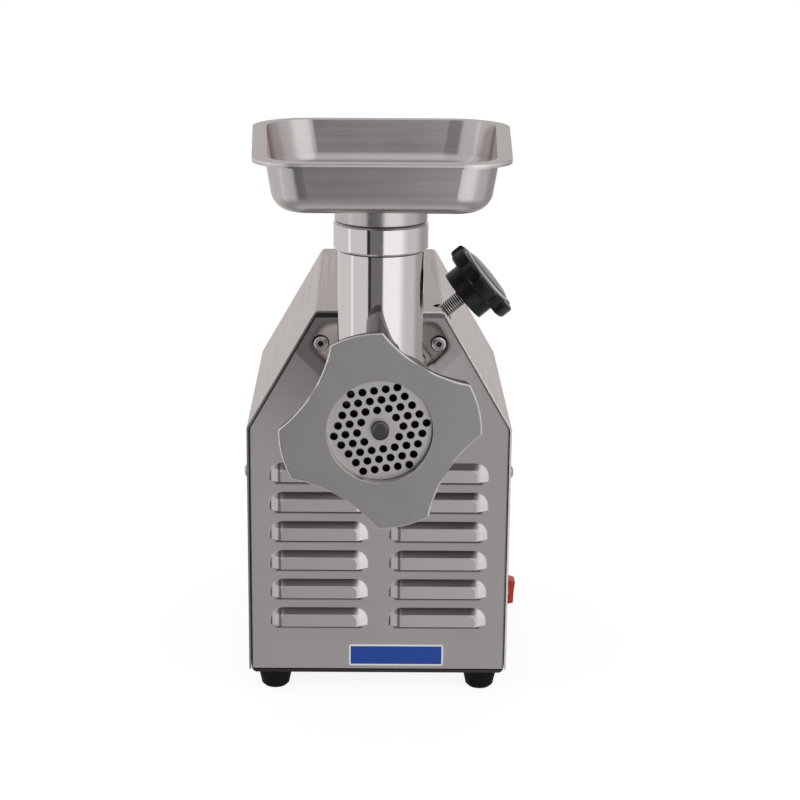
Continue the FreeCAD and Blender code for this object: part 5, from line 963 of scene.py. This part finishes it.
# %% Drafted ring nut
NUT_DRAFT = math.tan(math.radians(11))
NUT_BORE_CLEAR = 45 * MM
MERGE_DISTANCE = 0.001 * MM
FLAT = 0.999
shape = bmesh.new()
shape.from_mesh(nodes["ring_nut"].data)
bmesh.ops.remove_doubles(shape, verts=shape.verts, dist=MERGE_DISTANCE)
for vertex in shape.verts:
    spot = Vector((vertex.co.x, vertex.co.z - BARREL_AXIS[1]))
    if spot.length > NUT_BORE_CLEAR:
        spot.length -= min(vertex.co.y - NUT_FACE, NUT_LOBE_DEPTH) * NUT_DRAFT
        vertex.co = (spot.x, vertex.co.y, spot.y + BARREL_AXIS[1])
nut_mesh = bpy.data.meshes.new("drafted_ring_nut")
shape.to_mesh(nut_mesh)
shape.free()
nut_mesh.materials.append(nut_cast)
drafted_nut = bpy.data.objects.new("drafted_ring_nut", nut_mesh)
bpy.context.scene.collection.objects.link(drafted_nut)
smooth(drafted_nut, 30)
for polygon in nut_mesh.polygons:
    polygon.use_smooth = abs(polygon.normal.y) < FLAT
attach(drafted_nut, "nut")
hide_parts("ring_nut")
print(f"nut with {len(nut_mesh.polygons)} faces")

# %% [markdown]
# ## Floor
# The machine stands on white paper that keeps a soft shadow. To the camera the paper also glows, so that
# it goes over into the white background without an edge. It is a disc, and polished metal doesn't reflect
# it.

# %% Floor
FLOOR_RADIUS = 0.75
FLOOR_SIDES = 64
FLOOR_GLOW_SHARE = 0.86
FLOOR_GLOW = 1.05
PAPER_WHITE = (0.93, 0.93, 0.93, 1)
WHITE = (1, 1, 1, 1)
mesh = bpy.data.meshes.new("studio_floor")
edge_turns = [side * math.tau / FLOOR_SIDES for side in range(FLOOR_SIDES)]
mesh.from_pydata(
    [(math.cos(turn) * FLOOR_RADIUS, math.sin(turn) * FLOOR_RADIUS, 0) for turn in edge_turns], [],
    [tuple(range(FLOOR_SIDES))])
floor = bpy.data.objects.new("studio_floor", mesh)
bpy.context.scene.collection.objects.link(floor)
floor.visible_glossy = False
paper = Finish("studio_paper", roughness=0.9)
paper.shader.inputs["Base Color"].default_value = PAPER_WHITE
glow = paper.node("ShaderNodeEmission", None, {"Color": WHITE, "Strength": FLOOR_GLOW})
seen = paper.node("ShaderNodeLightPath", output="Is Camera Ray")
sheet = paper.node("ShaderNodeMixShader", None, {
    0: seen * FLOOR_GLOW_SHARE, 1: Wire(paper, paper.shader.outputs[0]), 2: glow})
paper.feed(paper.tree.nodes["Material Output"].inputs["Surface"], sheet)
floor.data.materials.append(paper.material)
print("floor laid")

# %% [markdown]
# ## The studio round the machine
# Bare steel shows its surroundings more than itself, so the surroundings matter. A real studio would have
# walls of card and cloth. Here the world's own shader does it: a light room, a bright cloth to the right
# of the camera, a dark gap where the camera stands, and a dim ceiling and ground. The camera itself sees
# plain white. Each wall has a brightness, and each edge an angle in degrees and a softness.

# %% Plan of the studio
ROOM = 0.68
CLOTH = 1.05
SIDE = 0.62
CORNER = 0.38
STRIP = 1.0
WALLS = [
    (CLOTH, (7, 3), (62, 16)),
    (SIDE, (62, 16), (104, 14)),
    (CORNER, (104, 14), (156, 8)),
    (STRIP, (-86, 1), (-79, 1)),
]
BACK = 0.56
BACK_SIDE = (120, 20)
BACK_FOOT = (4, 6)
GAP = 0.17
GAP_EDGES = ((-34, 1), (5, 2))
GAP_END = 0.03
GAP_END_EDGE = (26, 1)
OVER_GAP = 0.64
GAP_TOP = (18, 10)
CEILING = 0.32
CEILING_EDGE = (56, 10)
GROUND = 0.36
GROUND_EDGE = (42, 14)
UNDERFOOT = 0.56
UNDERFOOT_EDGE = (68, 10)
print(f"{len(WALLS)} walls, a gap, a ceiling and a ground planned")

# %% [markdown]
# ## Walls in the world's shader
# The world's shader knows the direction of each ray. Its azimuth is 0 at the camera and grows to the
# right, and its elevation is 0 at the horizon. Each wall in turn changes the room's brightness between
# its own edges.

# %% Studio walls
world = bpy.data.worlds.new("studio")
bpy.context.scene.world = world
world.use_nodes = True
sky = Graph(world.node_tree)
background = world.node_tree.nodes["Background"]
side, depth, up = sky.split(sky.node("ShaderNodeTexCoord", output="Generated"))
azimuth = side.maths("ARCTAN2", side, 0 - depth) * math.degrees(1)
elevation = up.maths("ARCSINE", up) * math.degrees(1)


def past(wire, angle, soft):
    """0 before an angle, 1 past it, and smooth between."""
    return sky.step(wire, angle - soft, angle + soft)


def wall(room, light, mask):
    """Change a room's brightness to that of a wall where the mask is 1."""
    return room + (light - room) * mask


room = ROOM
for light, start, end in WALLS:
    room = wall(room, light, past(azimuth, *start) - past(azimuth, *end))
room = wall(room, BACK, past(abs(azimuth), *BACK_SIDE) * past(elevation, *BACK_FOOT))
gap = wall(GAP, GAP_END, past(0 - azimuth, *GAP_END_EDGE))
gap = wall(gap, OVER_GAP, past(elevation, *GAP_TOP))
room = wall(room, gap, past(azimuth, *GAP_EDGES[0]) - past(azimuth, *GAP_EDGES[1]))
room = wall(room, CEILING, past(elevation, *CEILING_EDGE))
room = wall(room, GROUND, past(0 - elevation, *GROUND_EDGE))
room = wall(room, UNDERFOOT, past(0 - elevation, *UNDERFOOT_EDGE))
lens = sky.node("ShaderNodeLightPath", output="Is Camera Ray")
sky.feed(background.inputs["Strength"], wall(room, 1.0, lens))
background.inputs["Color"].default_value = WHITE
print("studio walls up:", world.name)

# %% [markdown]
# ## Lamps
# Three weak soft boxes, from the left, the right and above, give the floor its shadow. They don't show in
# the metal, which reflects the walls alone.

# %% Soft boxes
LAMP_AIM = Vector((0, 0, 0.2))
LAMP_POWER = 5
LAMPS = {
    "left_box": ((-1.1, -0.7, 0.8), 0.7, 1.2),
    "right_box": ((1.1, -0.9, 0.7), 0.7, 1.2),
    "top_box": ((0, 0.1, 1.5), 1.2, 1.0),
}
for name, (place, width, height) in LAMPS.items():
    lamp = bpy.data.lights.new(name, "AREA")
    lamp.shape = "RECTANGLE"
    lamp.size = width
    lamp.size_y = height
    lamp.energy = LAMP_POWER
    holder = bpy.data.objects.new(name, lamp)
    holder.location = place
    holder.rotation_euler = (LAMP_AIM - Vector(place)).to_track_quat("-Z", "Y").to_euler()
    holder.visible_glossy = False
    bpy.context.scene.collection.objects.link(holder)
print(f"{len(LAMPS)} soft boxes")

# %% [markdown]
# ## Camera
# The photograph was taken with a long lens from a little above, aimed down, and cropped off its centre.
# The camera's place comes from a fit to the housing's corners, and the lens shift stands for the crop.

# %% Camera
IMAGE = 800
SENSOR = 36
FOCAL_PIXELS = 2000.0
AXIS_PIXEL = (371.1, 425.5)
CAMERA_PLACE = Vector((-7.3, -1276.8, 552.5)) * MM
TILT = 16.427
ROLL = 0.316
camera_data = bpy.data.cameras.new("camera")
camera_data.sensor_width = SENSOR
camera_data.lens = SENSOR * FOCAL_PIXELS / IMAGE
camera_data.shift_x = (IMAGE / 2 - AXIS_PIXEL[0]) / IMAGE
camera_data.shift_y = (AXIS_PIXEL[1] - IMAGE / 2) / IMAGE
camera = bpy.data.objects.new("camera", camera_data)
camera.location = CAMERA_PLACE
camera.rotation_euler = (math.radians(90 - TILT), math.radians(-ROLL), 0)
bpy.context.scene.collection.objects.link(camera)
bpy.context.scene.camera = camera
bpy.context.scene.view_settings.view_transform = "Standard"
print("camera placed")

# %% [markdown]
# ## The end

# %% The end
print("scene built")
